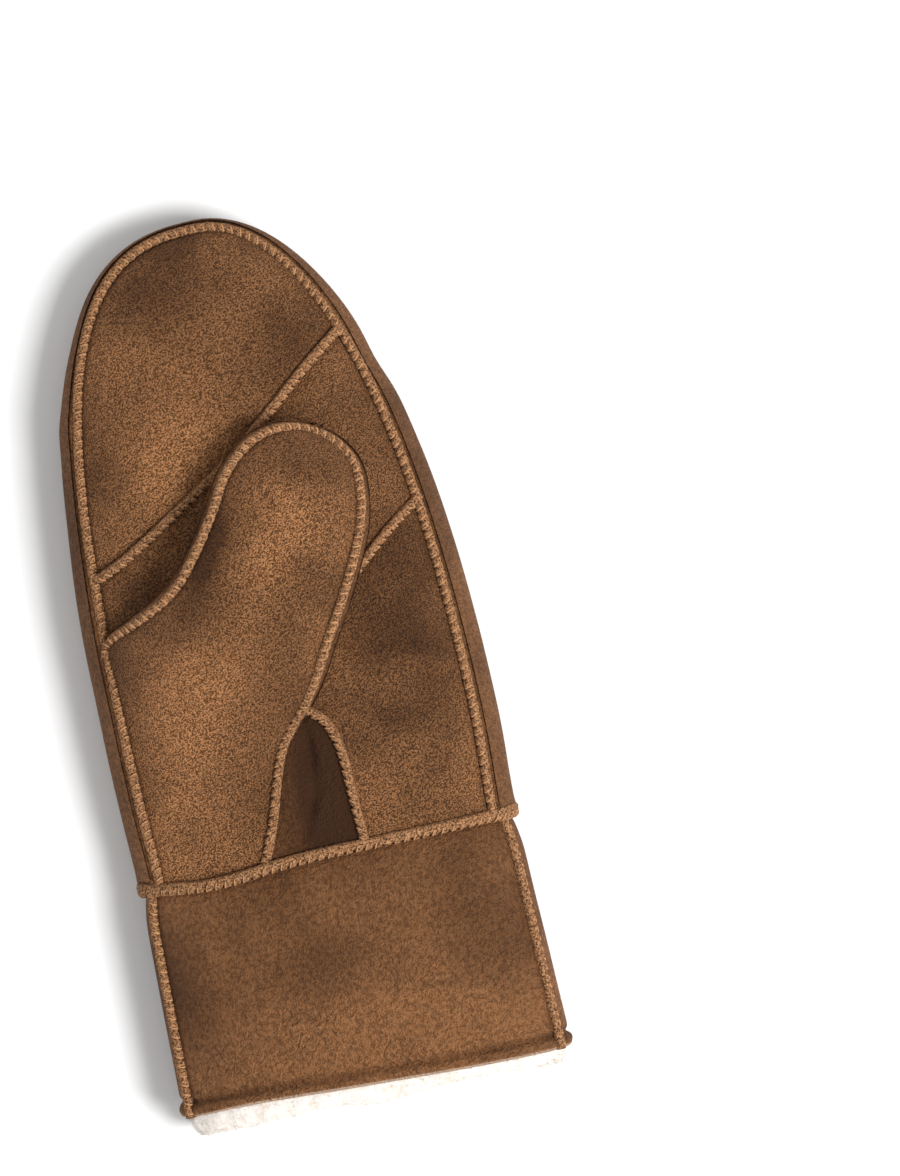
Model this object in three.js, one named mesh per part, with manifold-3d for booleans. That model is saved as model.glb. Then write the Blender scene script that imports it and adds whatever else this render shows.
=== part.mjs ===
// A left-hand sheepskin mitten lying on its back, palm up, with the thumb folded over the palm.
// Millimetres. +X points to the little-finger side, +Y to the fingertips, +Z up out of the palm.
// The leather panels are thin walls with raised overcast seams between them, round a fleece lining.
import * as THREE from "three";
import Module from "manifold-3d";

// Hand, from the wrist seam to the tip
const HAND_LENGTH = 199;
const HAND_WIDTH = 119.5;
const HAND_THICKNESS = 38;
const RIM_HEIGHT = 13;
const BACK_SWELL = 16.5;

// Cuff, from the wrist seam to its mouth
const CUFF_LENGTH = 73;
const MOUTH_WIDTH = 123;
const MOUTH_THICKNESS = 35;
const MOUTH_SLANT = 2.5;
const WAIST_DEPTH = 2.4;
const WAIST_REACH = { hand: 21, cuff: 8 };
const WRIST_BOW = 2.6;
const WRIST_BOW_REACH = 19;

// Where the wrist seam bows, as a share of half the hand's width
const WRIST_BOW_PLACE = -0.6;

// Thumb, from its root in the palm to its tip
const THUMB_LENGTH = 84;
const THUMB_WIDTH = 50;
const THUMB_THICKNESS = 20;
const THUMB_ANGLE = THREE.MathUtils.degToRad(31);
const THUMB_ROOT = { x: -0.32, y: 0.278 };

// Walls
const LEATHER = 1.8;
const FLEECE = 5;
const THUMB_FLEECE = 3.6;
const FLEECE_PROUD = 4;
const CLEARANCE = 0.3;

// Seams: a ridge that stands in the gap between two panels
const SEAM_WIDTH = 3;
const SEAM_RISE = 1.6;
const WRIST_SEAM_WIDTH = 3.8;
const WRIST_SEAM_RISE = 2;
const PALM_SEAM_INSET = 5.8;
const PALM_SEAM_TIP_INSET = 1.5;
const BACK_SEAM_INSET = 3.6;
const CUFF_SEAM_ANGLE = THREE.MathUtils.degToRad(20);
const THUMB_SEAM_ANGLE = THREE.MathUtils.degToRad(18);

// How deep the gap for a seam is cut, in leather walls, and the shape of a ridge's section
const SEAM_CUT = 1.8;
const THUMB_SEAM_CUT = 3;
const RIDGE_SHOULDER = 0.45;
const RIDGE_CROWN = 0.44;

// How fine the surfaces are
const AROUND_HAND = 22;
const HAND_STEPS = 10;
const CUFF_STEPS = 3;
const AROUND_THUMB = 12;
const WRIST_STEPS = 28;
const RIM_STEPS = 10;

// Steps for measuring a surface's direction, and how far short of a closed tip it stops.
// The cuff's side seams are cut on past the mouth, as a share of the cuff's length.
const ANGLE_STEP = 0.02;
const BODY_STEP = 0.5;
const THUMB_STEP = 0.01;
const TIP_STEP = 0.6;
const TIP_FLAT = 0.15;
const THUMB_TIP = 0.998;
const PAST_MOUTH = 1.1;

// Superellipse exponents of the cross-sections and of the outline towards the tip
const PALM_ROUNDNESS = 2.5;
const BACK_ROUNDNESS = 3.2;
const THUMB_ROUNDNESS = 2.4;
const THUMB_SIDE_TIP = { power: 4, root: 2.6 };
const LITTLE_SIDE_TIP = { power: 2.9, root: 2 };
const PALM_SEAM_TIP = { power: 4.4, root: 2.6 };

// Shares of half the hand's width and of the hand's length
const UPPER_DIAGONAL = [
  { x: 0.63, y: 0.794 },
  { x: 0.4, y: 0.739 },
  { x: 0.148, y: 0.675 },
  { x: -0.1, y: 0.617 },
  { x: -0.4, y: 0.56 },
  { x: -0.695, y: 0.508 },
  { x: -0.87, y: 0.486 },
];
const LOWER_DIAGONAL = [
  { x: 0.85, y: 0.51 },
  { x: 0.652, y: 0.467 },
  { x: 0.495, y: 0.427 },
  { x: 0.356, y: 0.391 },
  { x: 0.13, y: 0.332 },
  { x: -0.13, y: 0.264 },
];
const HEEL_SEAM = [
  { x: 0.04, y: 0.226 },
  { x: 0.131, y: 0.202 },
  { x: 0.174, y: 0.172 },
  { x: 0.192, y: 0.139 },
  { x: 0.198, y: 0.08 },
  { x: 0.21, y: 0 },
];
const THUMB_SET_IN = [
  { x: 0.03, y: 0.222 },
  { x: -0.1, y: 0.174 },
  { x: -0.17, y: 0.12 },
  { x: -0.235, y: 0.06 },
  { x: -0.32, y: 0 },
];

// Where the thumb's seam is set out, where its right side starts, and the stretch over which it
// climbs off the rim, as shares of the thumb's length
const RIGHT_SEAM_START = 0.05;
const SEAM_CLIMB = { start: -0.06, span: 0.3 };
const THUMB_SEAM_STOPS = [-0.04, 0.01, 0.06, 0.14, 0.22, 0.31, 0.45, 0.6, 0.74, 0.86, 0.94, 0.985];

// Thumb sections. along: share of the thumb's length. left, right: shares of half its width.
// lift: how far the middle stands above the palm, swell: half the thickness, as shares of half
// the thumb's thickness.
const THUMB_SECTIONS = [
  { along: -0.44, left: 0.7, right: 0.84, lift: -1.25, swell: 0.8 },
  { along: -0.25, left: 1.12, right: 0.86, lift: -0.78, swell: 0.95 },
  { along: -0.1, left: 1.45, right: 0.88, lift: -0.42, swell: 1 },
  { along: 0, left: 1.6, right: 0.94, lift: -0.1, swell: 1 },
  { along: 0.1, left: 1.39, right: 0.99, lift: 0.32, swell: 1 },
  { along: 0.2, left: 1.17, right: 1.02, lift: 0.7, swell: 1 },
  { along: 0.31, left: 1, right: 1.02, lift: 0.96, swell: 1 },
  { along: 0.45, left: 0.92, right: 1.02, lift: 1.05, swell: 1 },
  { along: 0.6, left: 0.89, right: 0.99, lift: 1.04, swell: 0.98 },
  { along: 0.74, left: 0.89, right: 0.92, lift: 1, swell: 0.93 },
  { along: 0.86, left: 0.77, right: 0.76, lift: 0.93, swell: 0.82 },
  { along: 0.94, left: 0.56, right: 0.56, lift: 0.85, swell: 0.62 },
  { along: 0.985, left: 0.28, right: 0.28, lift: 0.8, swell: 0.34 },
  { along: 1, left: 0, right: 0, lift: 0.78, swell: 0 },
];

const HALF_WIDTH = HAND_WIDTH / 2;
const FULL_TURN = 2 * Math.PI;

const wasm = await Module();
wasm.setup();

// Solids as rings of points, closed round and capped, or closed on themselves.
function loftSolid(rings, closed = false) {
  const count = rings[0].length;
  const vertices = rings.flat();
  const faces = [];
  const last = closed ? rings.length : rings.length - 1;
  for (let r = 0; r < last; r += 1) {
    const here = r * count;
    const next = ((r + 1) % rings.length) * count;
    for (let i = 0; i < count; i += 1) {
      const j = (i + 1) % count;
      faces.push([here + i, here + j, next + j], [here + i, next + j, next + i]);
    }
  }
  if (!closed) {
    for (const [ring, start] of [[rings[0], 0], [rings.at(-1), (rings.length - 1) * count]]) {
      const middle = new THREE.Vector3();
      ring.forEach((p) => middle.addScaledVector(p, 1 / count));
      const pole = vertices.push(middle) - 1;
      for (let i = 0; i < count; i += 1) {
        const j = (i + 1) % count;
        faces.push(start === 0 ? [start + j, start + i, pole] : [start + i, start + j, pole]);
      }
    }
  }
  return solidFrom(vertices, faces);
}

// A closed list of faces as a solid, turned to face outward.
function solidFrom(vertices, faces) {
  const cross = new THREE.Vector3();
  const volume = faces.reduce((sum, [a, b, c]) => {
    cross.crossVectors(vertices[b], vertices[c]);
    return sum + vertices[a].dot(cross);
  }, 0);
  const outward = volume > 0 ? faces : faces.map(([a, b, c]) => [a, c, b]);
  const vertProperties = new Float32Array(vertices.flatMap((p) => p.toArray()));
  const triVerts = new Uint32Array(outward.flat());
  return new wasm.Manifold(new wasm.Mesh({ numProp: 3, vertProperties, triVerts }));
}

// The parts of a cut solid that no longer touch, each as a solid of its own.
function separate(solid) {
  const mesh = solid.getMesh();
  const { vertProperties, triVerts } = mesh;
  const group = Array.from({ length: vertProperties.length / 3 }, (_, i) => i);
  const top = (i) => {
    let at = i;
    while (group[at] !== at) {
      group[at] = group[group[at]];
      at = group[at];
    }
    return at;
  };
  for (let t = 0; t < triVerts.length; t += 3) {
    group[top(triVerts[t])] = top(triVerts[t + 1]);
    group[top(triVerts[t + 1])] = top(triVerts[t + 2]);
  }
  const lists = new Map();
  for (let t = 0; t < triVerts.length; t += 3) {
    const key = top(triVerts[t]);
    if (!lists.has(key)) lists.set(key, []);
    lists.get(key).push([triVerts[t], triVerts[t + 1], triVerts[t + 2]]);
  }
  return [...lists.values()].map((faces) => {
    const order = new Map();
    const vertices = [];
    const renumbered = faces.map((face) => face.map((v) => {
      if (!order.has(v)) {
        order.set(v, vertices.length);
        vertices.push(new THREE.Vector3().fromArray(vertProperties, 3 * v));
      }
      return order.get(v);
    }));
    return { vertices, faces: renumbered };
  });
}

// The value of one column at a place along a table, on a smooth curve through its rows.
function readTable(rows, column, along) {
  const last = rows.length - 1;
  let i = rows.findIndex((row) => along < row.along) - 1;
  if (i < 0) i = along < rows[0].along ? 0 : last - 1;
  const slope = (k) => {
    const before = rows[Math.max(0, k - 1)];
    const after = rows[Math.min(last, k + 1)];
    return (after[column] - before[column]) / (after.along - before.along);
  };
  const span = rows[i + 1].along - rows[i].along;
  const t = THREE.MathUtils.clamp((along - rows[i].along) / span, 0, 1);
  const [a, b] = [rows[i][column], rows[i + 1][column]];
  return a * (1 + 2 * t) * (1 - t) ** 2 + b * t ** 2 * (3 - 2 * t)
    + span * t * (1 - t) * (slope(i) * (1 - t) - slope(i + 1) * t);
}

const roundOff = (share, tip) => Math.max(0, 1 - share ** tip.power) ** (1 / tip.root);
const signedPower = (value, power) => Math.sign(value) * Math.abs(value) ** power;

// How far the wrist seam draws the body in at a place along it
const waistAt = (y) =>
  WAIST_DEPTH * Math.exp(-((y / (y < 0 ? WAIST_REACH.cuff : WAIST_REACH.hand)) ** 2));

// Half-widths, rise and drop of the body's cross-section at a place along it.
function bodySection(y, inset) {
  const waist = waistAt(y);
  if (y < 0) {
    const share = -y / CUFF_LENGTH;
    const halfWidth = THREE.MathUtils.lerp(HALF_WIDTH, MOUTH_WIDTH / 2, share) - inset - waist / 2;
    const thickness = THREE.MathUtils.lerp(HAND_THICKNESS, MOUTH_THICKNESS, share);
    return {
      left: halfWidth,
      right: halfWidth,
      rise: thickness - RIM_HEIGHT - inset - waist,
      drop: BACK_SWELL - inset,
      floor: inset + waist,
    };
  }
  const share = Math.min(1, y / (HAND_LENGTH - inset));
  const halfWidth = HALF_WIDTH - inset - waist / 2;
  const swell = roundOff(share, THUMB_SIDE_TIP);
  return {
    left: halfWidth * swell,
    right: halfWidth * roundOff(share, LITTLE_SIDE_TIP),
    rise: (HAND_THICKNESS - RIM_HEIGHT - inset - waist) * swell,
    drop: (BACK_SWELL - inset) * swell,
    floor: inset + waist,
  };
}

// A point of the body's surface. The angle is 0 at the little-finger rim, a quarter turn on
// the palm, a half turn at the thumb-side rim and three quarters on the back.
function bodyPoint(angle, y, inset = 0) {
  const section = bodySection(y, inset);
  const palm = Math.sin(angle) >= 0;
  const power = 2 / (palm ? PALM_ROUNDNESS : BACK_ROUNDNESS);
  const across = signedPower(Math.cos(angle), power);
  const x = across * (across > 0 ? section.right : section.left);
  const height = signedPower(Math.sin(angle), power) * (palm ? section.rise : section.drop);
  const slant = y < 0 ? (MOUTH_SLANT * y * x) / (CUFF_LENGTH * HALF_WIDTH) : 0;
  return new THREE.Vector3(x, y + slant, Math.max(section.floor, RIM_HEIGHT + height));
}

// The angle at which the body's surface passes through a given x.
function bodyAngle(x, y, palm = true) {
  const section = bodySection(y, 0);
  const share = Math.min(1, Math.abs(x) / (x > 0 ? section.right : section.left));
  const angle = Math.acos(share ** ((palm ? PALM_ROUNDNESS : BACK_ROUNDNESS) / 2));
  const fromRight = x > 0 ? angle : Math.PI - angle;
  return palm ? fromRight : -fromRight;
}

const palmHeight = (x, y) => bodyPoint(bodyAngle(x, y), y).z;

const THUMB_AXIS = { x: Math.sin(THUMB_ANGLE), y: Math.cos(THUMB_ANGLE) };

// A point of the thumb's surface, which follows the palm that it lies on.
function thumbPoint(angle, along, inset = 0) {
  const reach = along > 0 ? THUMB_LENGTH - inset : THUMB_LENGTH;
  const column = Math.cos(angle) < 0 ? "left" : "right";
  const halfWidth = readTable(THUMB_SECTIONS, column, along) * (THUMB_WIDTH / 2 - inset);
  const across = signedPower(Math.cos(angle), 2 / THUMB_ROUNDNESS) * halfWidth;
  const x = THUMB_ROOT.x * HALF_WIDTH + along * reach * THUMB_AXIS.x + across * THUMB_AXIS.y;
  const y = THUMB_ROOT.y * HAND_LENGTH + along * reach * THUMB_AXIS.y - across * THUMB_AXIS.x;
  const lift = readTable(THUMB_SECTIONS, "lift", along) * (THUMB_THICKNESS / 2);
  const swell = readTable(THUMB_SECTIONS, "swell", along) * (THUMB_THICKNESS / 2 - inset);
  const height = signedPower(Math.sin(angle), 2 / THUMB_ROUNDNESS) * swell;
  return new THREE.Vector3(x, y, palmHeight(x, y) + lift + height);
}

// A stop on a seam: a point of a surface and its outward direction there.
function stopOn(surface, angle, along, step) {
  const point = surface(angle, along);
  const round = surface(angle + ANGLE_STEP, along).sub(surface(angle - ANGLE_STEP, along));
  const forward = surface(angle, along + step).sub(surface(angle, along - step));
  const normal = new THREE.Vector3().crossVectors(forward, round).normalize();
  return { point, normal };
}

const bodyStop = (angle, y) =>
  stopOn(bodyPoint, angle, Math.min(y, HAND_LENGTH - TIP_STEP), BODY_STEP);
const palmStop = (x, y) => bodyStop(bodyAngle(x, y), y);
const thumbStop = (angle, along) => stopOn(thumbPoint, angle, along, THUMB_STEP);

// A section carried along a seam, with x across the seam and y out of the surface.
function carry(stops, section, closed = false) {
  const last = stops.length - 1;
  const rings = stops.map((stop, i) => {
    const before = stops[closed ? (i + last) % stops.length : Math.max(0, i - 1)];
    const after = stops[closed ? (i + 1) % stops.length : Math.min(last, i + 1)];
    const travel = new THREE.Vector3().subVectors(after.point, before.point).normalize();
    const side = new THREE.Vector3().crossVectors(travel, stop.normal).normalize();
    const out = new THREE.Vector3().crossVectors(side, travel);
    return section.map(([x, y]) => stop.point.clone().addScaledVector(side, x).addScaledVector(out, y));
  });
  return loftSolid(rings, closed);
}

const ridgeSection = (width, rise) => [
  [-width / 2, -LEATHER],
  [width / 2, -LEATHER],
  [width / 2, rise * RIDGE_SHOULDER],
  [(width / 2) * RIDGE_CROWN, rise],
  [(-width / 2) * RIDGE_CROWN, rise],
  [-width / 2, rise * RIDGE_SHOULDER],
];

const channelSection = (width, rise, depth) => {
  const half = width / 2 + CLEARANCE;
  const [bottom, top] = [-depth, rise + CLEARANCE];
  return [[-half, bottom], [half, bottom], [half, top], [-half, top]];
};

// Stations along the body, closer together towards the tip and at the wrist.
function bodyStations(start, inset) {
  const cuff = [];
  for (let i = 0; i < CUFF_STEPS; i += 1) {
    cuff.push(THREE.MathUtils.lerp(start, -2 * WAIST_REACH.cuff, i / (CUFF_STEPS - 1)));
  }
  const wrist = [-WAIST_REACH.cuff, -WAIST_REACH.cuff / 3, WAIST_REACH.hand / 6, WAIST_REACH.hand / 2];
  const hand = [];
  for (let i = 1; i < HAND_STEPS; i += 1) {
    const share = Math.sin((i / HAND_STEPS) * (Math.PI / 2));
    hand.push(THREE.MathUtils.lerp(0, HAND_LENGTH - inset, share));
  }
  const beyondWrist = hand.filter((y) => y > WAIST_REACH.hand);
  return [...cuff, ...wrist, ...beyondWrist, HAND_LENGTH - inset - TIP_FLAT];
}

const ring = (surface, count, along, inset) =>
  Array.from({ length: count }, (_, i) => surface((i / count) * FULL_TURN, along, inset));

const bodySolid = (inset, start) =>
  loftSolid(bodyStations(start, inset).map((y) => ring(bodyPoint, AROUND_HAND, y, inset)));

const thumbSolid = (inset) =>
  loftSolid(THUMB_SECTIONS.map((row) =>
    ring(thumbPoint, AROUND_THUMB, Math.min(row.along, THUMB_TIP), inset)));

// A thin sheet through the thumb from rim to rim, which parts its upper skin from its lower one.
function thumbSheet() {
  const rings = THUMB_SECTIONS.slice(0, -1).map(({ along }) => {
    const [left, right] = [Math.PI, 0].map((angle) => thumbPoint(angle, along, -SEAM_WIDTH / 2));
    const raised = (point, z) => point.clone().add(new THREE.Vector3(0, 0, z * CLEARANCE));
    return [raised(left, -0.5), raised(right, -0.5), raised(right, 0.5), raised(left, 0.5)];
  });
  return loftSolid(rings);
}

// A seam line round the hand's rim, from the wrist over the tip and back to the wrist.
function rimStops({ inset, tipInset, leftTip, rightTip, palm, steps }) {
  const stops = [];
  const reach = HAND_LENGTH - tipInset;
  for (let i = -steps; i <= steps; i += 1) {
    const turn = (Math.abs(i) / steps) * (Math.PI / 2);
    const share = Math.cos(turn);
    const tip = i < 0 ? leftTip : rightTip;
    const y = share * reach;
    const x = Math.sign(i) * (HALF_WIDTH - waistAt(y) / 2 - inset) * roundOff(share, tip);
    stops.push(bodyStop(bodyAngle(x || -1e-6, y, palm), y));
  }
  return stops;
}

const spread = (rows) =>
  new THREE.SplineCurve(rows.map((row) => new THREE.Vector2(row.x * HALF_WIDTH, row.y * HAND_LENGTH)));

const palmLine = (rows, steps) => spread(rows).getPoints(steps).map((p) => palmStop(p.x, p.y));

// A row of a table moved across onto the palm's edge seam, at its own height.
function ontoPalmSeam({ x, y }) {
  const share = (y * HAND_LENGTH) / (HAND_LENGTH - PALM_SEAM_TIP_INSET);
  const reach = roundOff(share, x < 0 ? PALM_SEAM_TIP : LITTLE_SIDE_TIP);
  return { x: Math.sign(x) * (1 - PALM_SEAM_INSET / HALF_WIDTH) * reach, y };
}

// The wrist seam's line, once round the body with a small bow towards the mouth.
const wristLine = () => {
  const stops = [];
  for (let i = 0; i < WRIST_STEPS; i += 1) {
    const angle = (i / WRIST_STEPS) * FULL_TURN;
    const { x } = bodyPoint(angle, 0);
    const fromBow = (x - WRIST_BOW_PLACE * HALF_WIDTH) / WRIST_BOW_REACH;
    const bow = Math.sin(angle) > 0 ? WRIST_BOW * Math.exp(-(fromBow ** 2)) : 0;
    stops.push(bodyStop(angle, -bow));
  }
  return stops;
};

const cuffLine = (angle, end) =>
  [0, 0.2, 0.45, 0.7, end].map((share) => bodyStop(angle, -share * CUFF_LENGTH));

// Up one side of the thumb from its root, over the tip, down the other side and on to the wrist.
// At the root the seam lies on the rim, and it climbs a little above it along the free thumb.
function thumbLine() {
  const left = [];
  const right = [];
  for (const along of THUMB_SEAM_STOPS) {
    const share = (along - SEAM_CLIMB.start) / SEAM_CLIMB.span;
    const climb = THUMB_SEAM_ANGLE * THREE.MathUtils.clamp(share, 0, 1);
    left.push(thumbStop(Math.PI - climb, along));
    if (along > RIGHT_SEAM_START) right.unshift(thumbStop(climb, along));
  }
  return easeTurns([...left, ...right, ...palmLine(THUMB_SET_IN, 7)]);
}

// Spreads a sudden turn of the outward direction over the stops on both sides of it.
function easeTurns(stops) {
  for (let pass = 0; pass < 2; pass += 1) {
    const normals = stops.map((stop) => stop.normal.clone());
    for (let i = 1; i < stops.length - 1; i += 1) {
      stops[i].normal.addVectors(normals[i - 1], normals[i + 1]).addScaledVector(normals[i], 2);
      stops[i].normal.normalize();
    }
  }
  return stops;
}

const seam = (name, line, {
  width = SEAM_WIDTH,
  rise = SEAM_RISE,
  depth = SEAM_CUT * LEATHER,
  closed = false,
  cutLine = line,
} = {}) => {
  const channel = carry(cutLine, channelSection(width, rise, depth), closed);
  const ridge = carry(line, ridgeSection(width, rise), closed);
  return { name, channel, ridge, middle: line[Math.floor(line.length / 2)].point };
};

const cuffSeam = (name, angle) => seam(name, cuffLine(angle, 1), { cutLine: cuffLine(angle, PAST_MOUTH) });

const SEAMS = [
  seam("wrist_seam", wristLine(), { width: WRIST_SEAM_WIDTH, rise: WRIST_SEAM_RISE, closed: true }),
  seam("palm_edge_seam", rimStops({
    inset: PALM_SEAM_INSET,
    tipInset: PALM_SEAM_TIP_INSET,
    leftTip: PALM_SEAM_TIP,
    rightTip: LITTLE_SIDE_TIP,
    palm: true,
    steps: RIM_STEPS,
  })),
  seam("back_edge_seam", rimStops({
    inset: BACK_SEAM_INSET,
    tipInset: BACK_SEAM_INSET,
    leftTip: THUMB_SIDE_TIP,
    rightTip: LITTLE_SIDE_TIP,
    palm: false,
    steps: RIM_STEPS,
  })),
  cuffSeam("cuff_thumb_side_seam", Math.PI - CUFF_SEAM_ANGLE),
  cuffSeam("cuff_little_side_seam", CUFF_SEAM_ANGLE),
  seam("thumb_seam", thumbLine(), { depth: THUMB_SEAM_CUT * LEATHER }),
  seam("heel_seam", palmLine(HEEL_SEAM, 7)),
  seam("upper_diagonal_seam", palmLine([
    ontoPalmSeam(UPPER_DIAGONAL[0]),
    ...UPPER_DIAGONAL.slice(1, -1),
    ontoPalmSeam(UPPER_DIAGONAL.at(-1)),
  ], 9)),
  seam("lower_diagonal_seam", palmLine([ontoPalmSeam(LOWER_DIAGONAL[0]), ...LOWER_DIAGONAL.slice(1)], 8)),
];

// The line under the thumb where its underside leaves the palm
const rootLine = () => {
  const [from, to] = [thumbStop(Math.PI - THUMB_SEAM_ANGLE, 0).point, HEEL_SEAM[0]];
  return palmLine([
    { x: (from.x - SEAM_WIDTH) / HALF_WIDTH, y: (from.y + SEAM_WIDTH / 2) / HAND_LENGTH },
    { x: (from.x / HALF_WIDTH + to.x) / 2, y: (from.y / HAND_LENGTH + to.y) / 2 },
    to,
  ], 8);
};

// Everything on the finger side of the thumb's root, as one block.
function beyondRoot() {
  const line = rootLine();
  const [from, to] = [line[0].point, line.at(-1).point];
  const along = new THREE.Vector3(to.x - from.x, to.y - from.y, 0).normalize();
  const away = new THREE.Vector3(-along.y, along.x, 0);
  const corner = (x, y, z) => new THREE.Vector3(from.x, from.y, z)
    .addScaledVector(along, x * HAND_WIDTH).addScaledVector(away, y * HAND_LENGTH);
  const level = (z) => [corner(-1, 0, z), corner(2, 0, z), corner(2, 1, z), corner(-1, 1, z)];
  return loftSolid([level(-HAND_THICKNESS), level(3 * HAND_THICKNESS)]);
}

const join = (solids) => solids.reduce((all, solid) => all.add(solid));
const cut = (solid, tools) => tools.reduce((left, tool) => left.subtract(tool), solid);

const mouth = -CUFF_LENGTH;
const past = mouth - 2 * FLEECE_PROUD - FLEECE;
const bodyHollow = bodySolid(LEATHER, past);
const thumbHollow = thumbSolid(LEATHER);
const channels = Object.fromEntries(SEAMS.map((line) => [line.name, line.channel]));
const gapAtRoot = carry(rootLine(), channelSection(-CLEARANCE, SEAM_RISE, SEAM_CUT * LEATHER));
const thumbRoom = thumbSolid(-CLEARANCE).intersect(beyondRoot());

const bodyPieces = separate(cut(bodySolid(0, mouth), [
  bodyHollow,
  thumbHollow,
  thumbRoom,
  gapAtRoot,
  ...Object.values(channels),
]));
const thumbPieces = separate(cut(thumbSolid(0), [
  thumbHollow,
  bodyHollow,
  thumbSheet(),
  ...["wrist_seam", "palm_edge_seam", "thumb_seam", "heel_seam"].map((name) => channels[name]),
]));

// The piece of a cut skin that lies at a point of its outer surface.
function pieceAt(pieces, point) {
  const distance = (piece) => Math.min(...piece.vertices.map((v) => v.distanceTo(point)));
  const nearest = pieces.reduce((best, piece) => (distance(piece) < distance(best) ? piece : best));
  return solidFrom(nearest.vertices, nearest.faces);
}

const onPalm = (x, y) => palmStop(x * HALF_WIDTH, y * HAND_LENGTH).point;
const atThumb = (angle) => thumbPoint(angle, 0.6);
const PALM = Math.PI / 2;
const BACK = -Math.PI / 2;

const panels = {
  finger_panel: pieceAt(bodyPieces, onPalm(-0.2, 0.85)),
  middle_palm_panel: pieceAt(bodyPieces, onPalm(0.5, 0.62)),
  palm_heel_panel: pieceAt(bodyPieces, onPalm(0.6, 0.25)),
  side_wall: pieceAt(bodyPieces, bodyPoint(0, 0.4 * HAND_LENGTH)),
  back_panel: pieceAt(bodyPieces, bodyPoint(BACK, 0.5 * HAND_LENGTH)),
  cuff_palm_panel: pieceAt(bodyPieces, bodyPoint(PALM, -0.5 * CUFF_LENGTH)),
  cuff_back_panel: pieceAt(bodyPieces, bodyPoint(BACK, -0.5 * CUFF_LENGTH)),
  thumb_outer_panel: join([
    pieceAt(bodyPieces, onPalm(-0.62, 0.12)),
    pieceAt(thumbPieces, atThumb(PALM)),
  ]),
  thumb_inner_panel: pieceAt(thumbPieces, atThumb(BACK)),
  heel_gusset: pieceAt(bodyPieces, onPalm(0, 0.08)),
};

// Each ridge stops short of the ones before it, and of the thumb that lies over the palm.
const ridges = {};
const before = [];
for (const { name, channel, ridge, middle } of SEAMS) {
  const underThumb = name.includes("diagonal") ? [thumbSolid(-CLEARANCE)] : [];
  const trimmed = cut(ridge, [...before, ...underThumb, bodyHollow, thumbHollow]);
  ridges[name] = pieceAt(separate(trimmed), middle);
  before.push(channel);
}

const behindLeather = LEATHER + CLEARANCE;
const lining = cut(
  join([bodySolid(behindLeather, mouth - FLEECE_PROUD), thumbSolid(behindLeather)]),
  [bodySolid(behindLeather + FLEECE, past), thumbSolid(behindLeather + THUMB_FLEECE)],
);

function meshOf(name, solid, material) {
  const { vertProperties, triVerts } = solid.getMesh();
  const geometry = new THREE.BufferGeometry();
  geometry.setAttribute("position", new THREE.BufferAttribute(vertProperties, 3));
  geometry.setIndex(new THREE.BufferAttribute(triVerts, 1));
  geometry.computeVertexNormals();
  const mesh = new THREE.Mesh(geometry, material);
  mesh.name = name;
  return mesh;
}

const suede = () => new THREE.MeshStandardMaterial({ color: 0x8f6242, roughness: 0.95 });
const cuffLeather = () => new THREE.MeshStandardMaterial({ color: 0x84583a, roughness: 0.8 });
const thread = () => new THREE.MeshStandardMaterial({ color: 0xb08a66, roughness: 0.9 });
const fleece = () => new THREE.MeshStandardMaterial({ color: 0xe6dbcc, roughness: 1 });

// The middle of the whole mitten's length lies at the origin.
const middleOfLength = (HAND_LENGTH - CUFF_LENGTH - FLEECE_PROUD - MOUTH_SLANT) / 2;

const mitten = new THREE.Group();
mitten.position.y = -middleOfLength;
for (const [name, solid] of Object.entries(panels)) {
  mitten.add(meshOf(name, solid, name.startsWith("cuff") ? cuffLeather() : suede()));
}
for (const [name, solid] of Object.entries(ridges)) {
  mitten.add(meshOf(name, solid, thread()));
}
mitten.add(meshOf("fleece_lining", lining, fleece()));

const part = new THREE.Group();
part.add(mitten);
part.updateMatrixWorld(true);
export default part;
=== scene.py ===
"""A left-hand sheepskin mitten that lies on its back, palm up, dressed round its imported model.

Lengths are in metres. Shapes are worked out in the mitten's own place: x runs to the
little-finger side, y from the wrist seam, at 0, to the fingertips, and z up out of the palm.
put_mesh moves them to the frame, whose origin lies at the middle of the mitten's length.
"""
import math

import bmesh
import bpy
import numpy as np
from bpy.props import FloatProperty, FloatVectorProperty, PointerProperty
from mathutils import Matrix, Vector


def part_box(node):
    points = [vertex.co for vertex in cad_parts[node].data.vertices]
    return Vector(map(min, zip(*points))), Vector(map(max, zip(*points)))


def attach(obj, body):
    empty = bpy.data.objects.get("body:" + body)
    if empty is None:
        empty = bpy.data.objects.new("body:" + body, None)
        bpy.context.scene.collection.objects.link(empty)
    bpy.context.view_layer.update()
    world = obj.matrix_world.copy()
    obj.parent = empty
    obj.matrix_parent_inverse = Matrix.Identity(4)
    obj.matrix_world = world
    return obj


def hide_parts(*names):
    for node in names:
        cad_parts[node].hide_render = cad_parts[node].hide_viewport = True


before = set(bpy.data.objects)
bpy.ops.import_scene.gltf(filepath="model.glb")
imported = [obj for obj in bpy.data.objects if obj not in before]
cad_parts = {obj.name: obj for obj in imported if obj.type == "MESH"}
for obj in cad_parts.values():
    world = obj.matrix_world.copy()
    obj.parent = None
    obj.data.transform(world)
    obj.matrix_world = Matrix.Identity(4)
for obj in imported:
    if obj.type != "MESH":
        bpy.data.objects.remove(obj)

bl_info = {
    "name": "Sheepskin Mitten",
    "version": (1, 0, 0),
    "blender": (4, 5, 0),
    "location": "3D View > Sidebar > Mitten",
    "description": "Suede panels, overcast seams, a smooth cuff and a fleece lining",
    "category": "Add Mesh",
}

TAU = 2 * math.pi
TINY = 1e-9
MM = 0.001
WALL_LOW, WALL_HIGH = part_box("side_wall")
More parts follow.
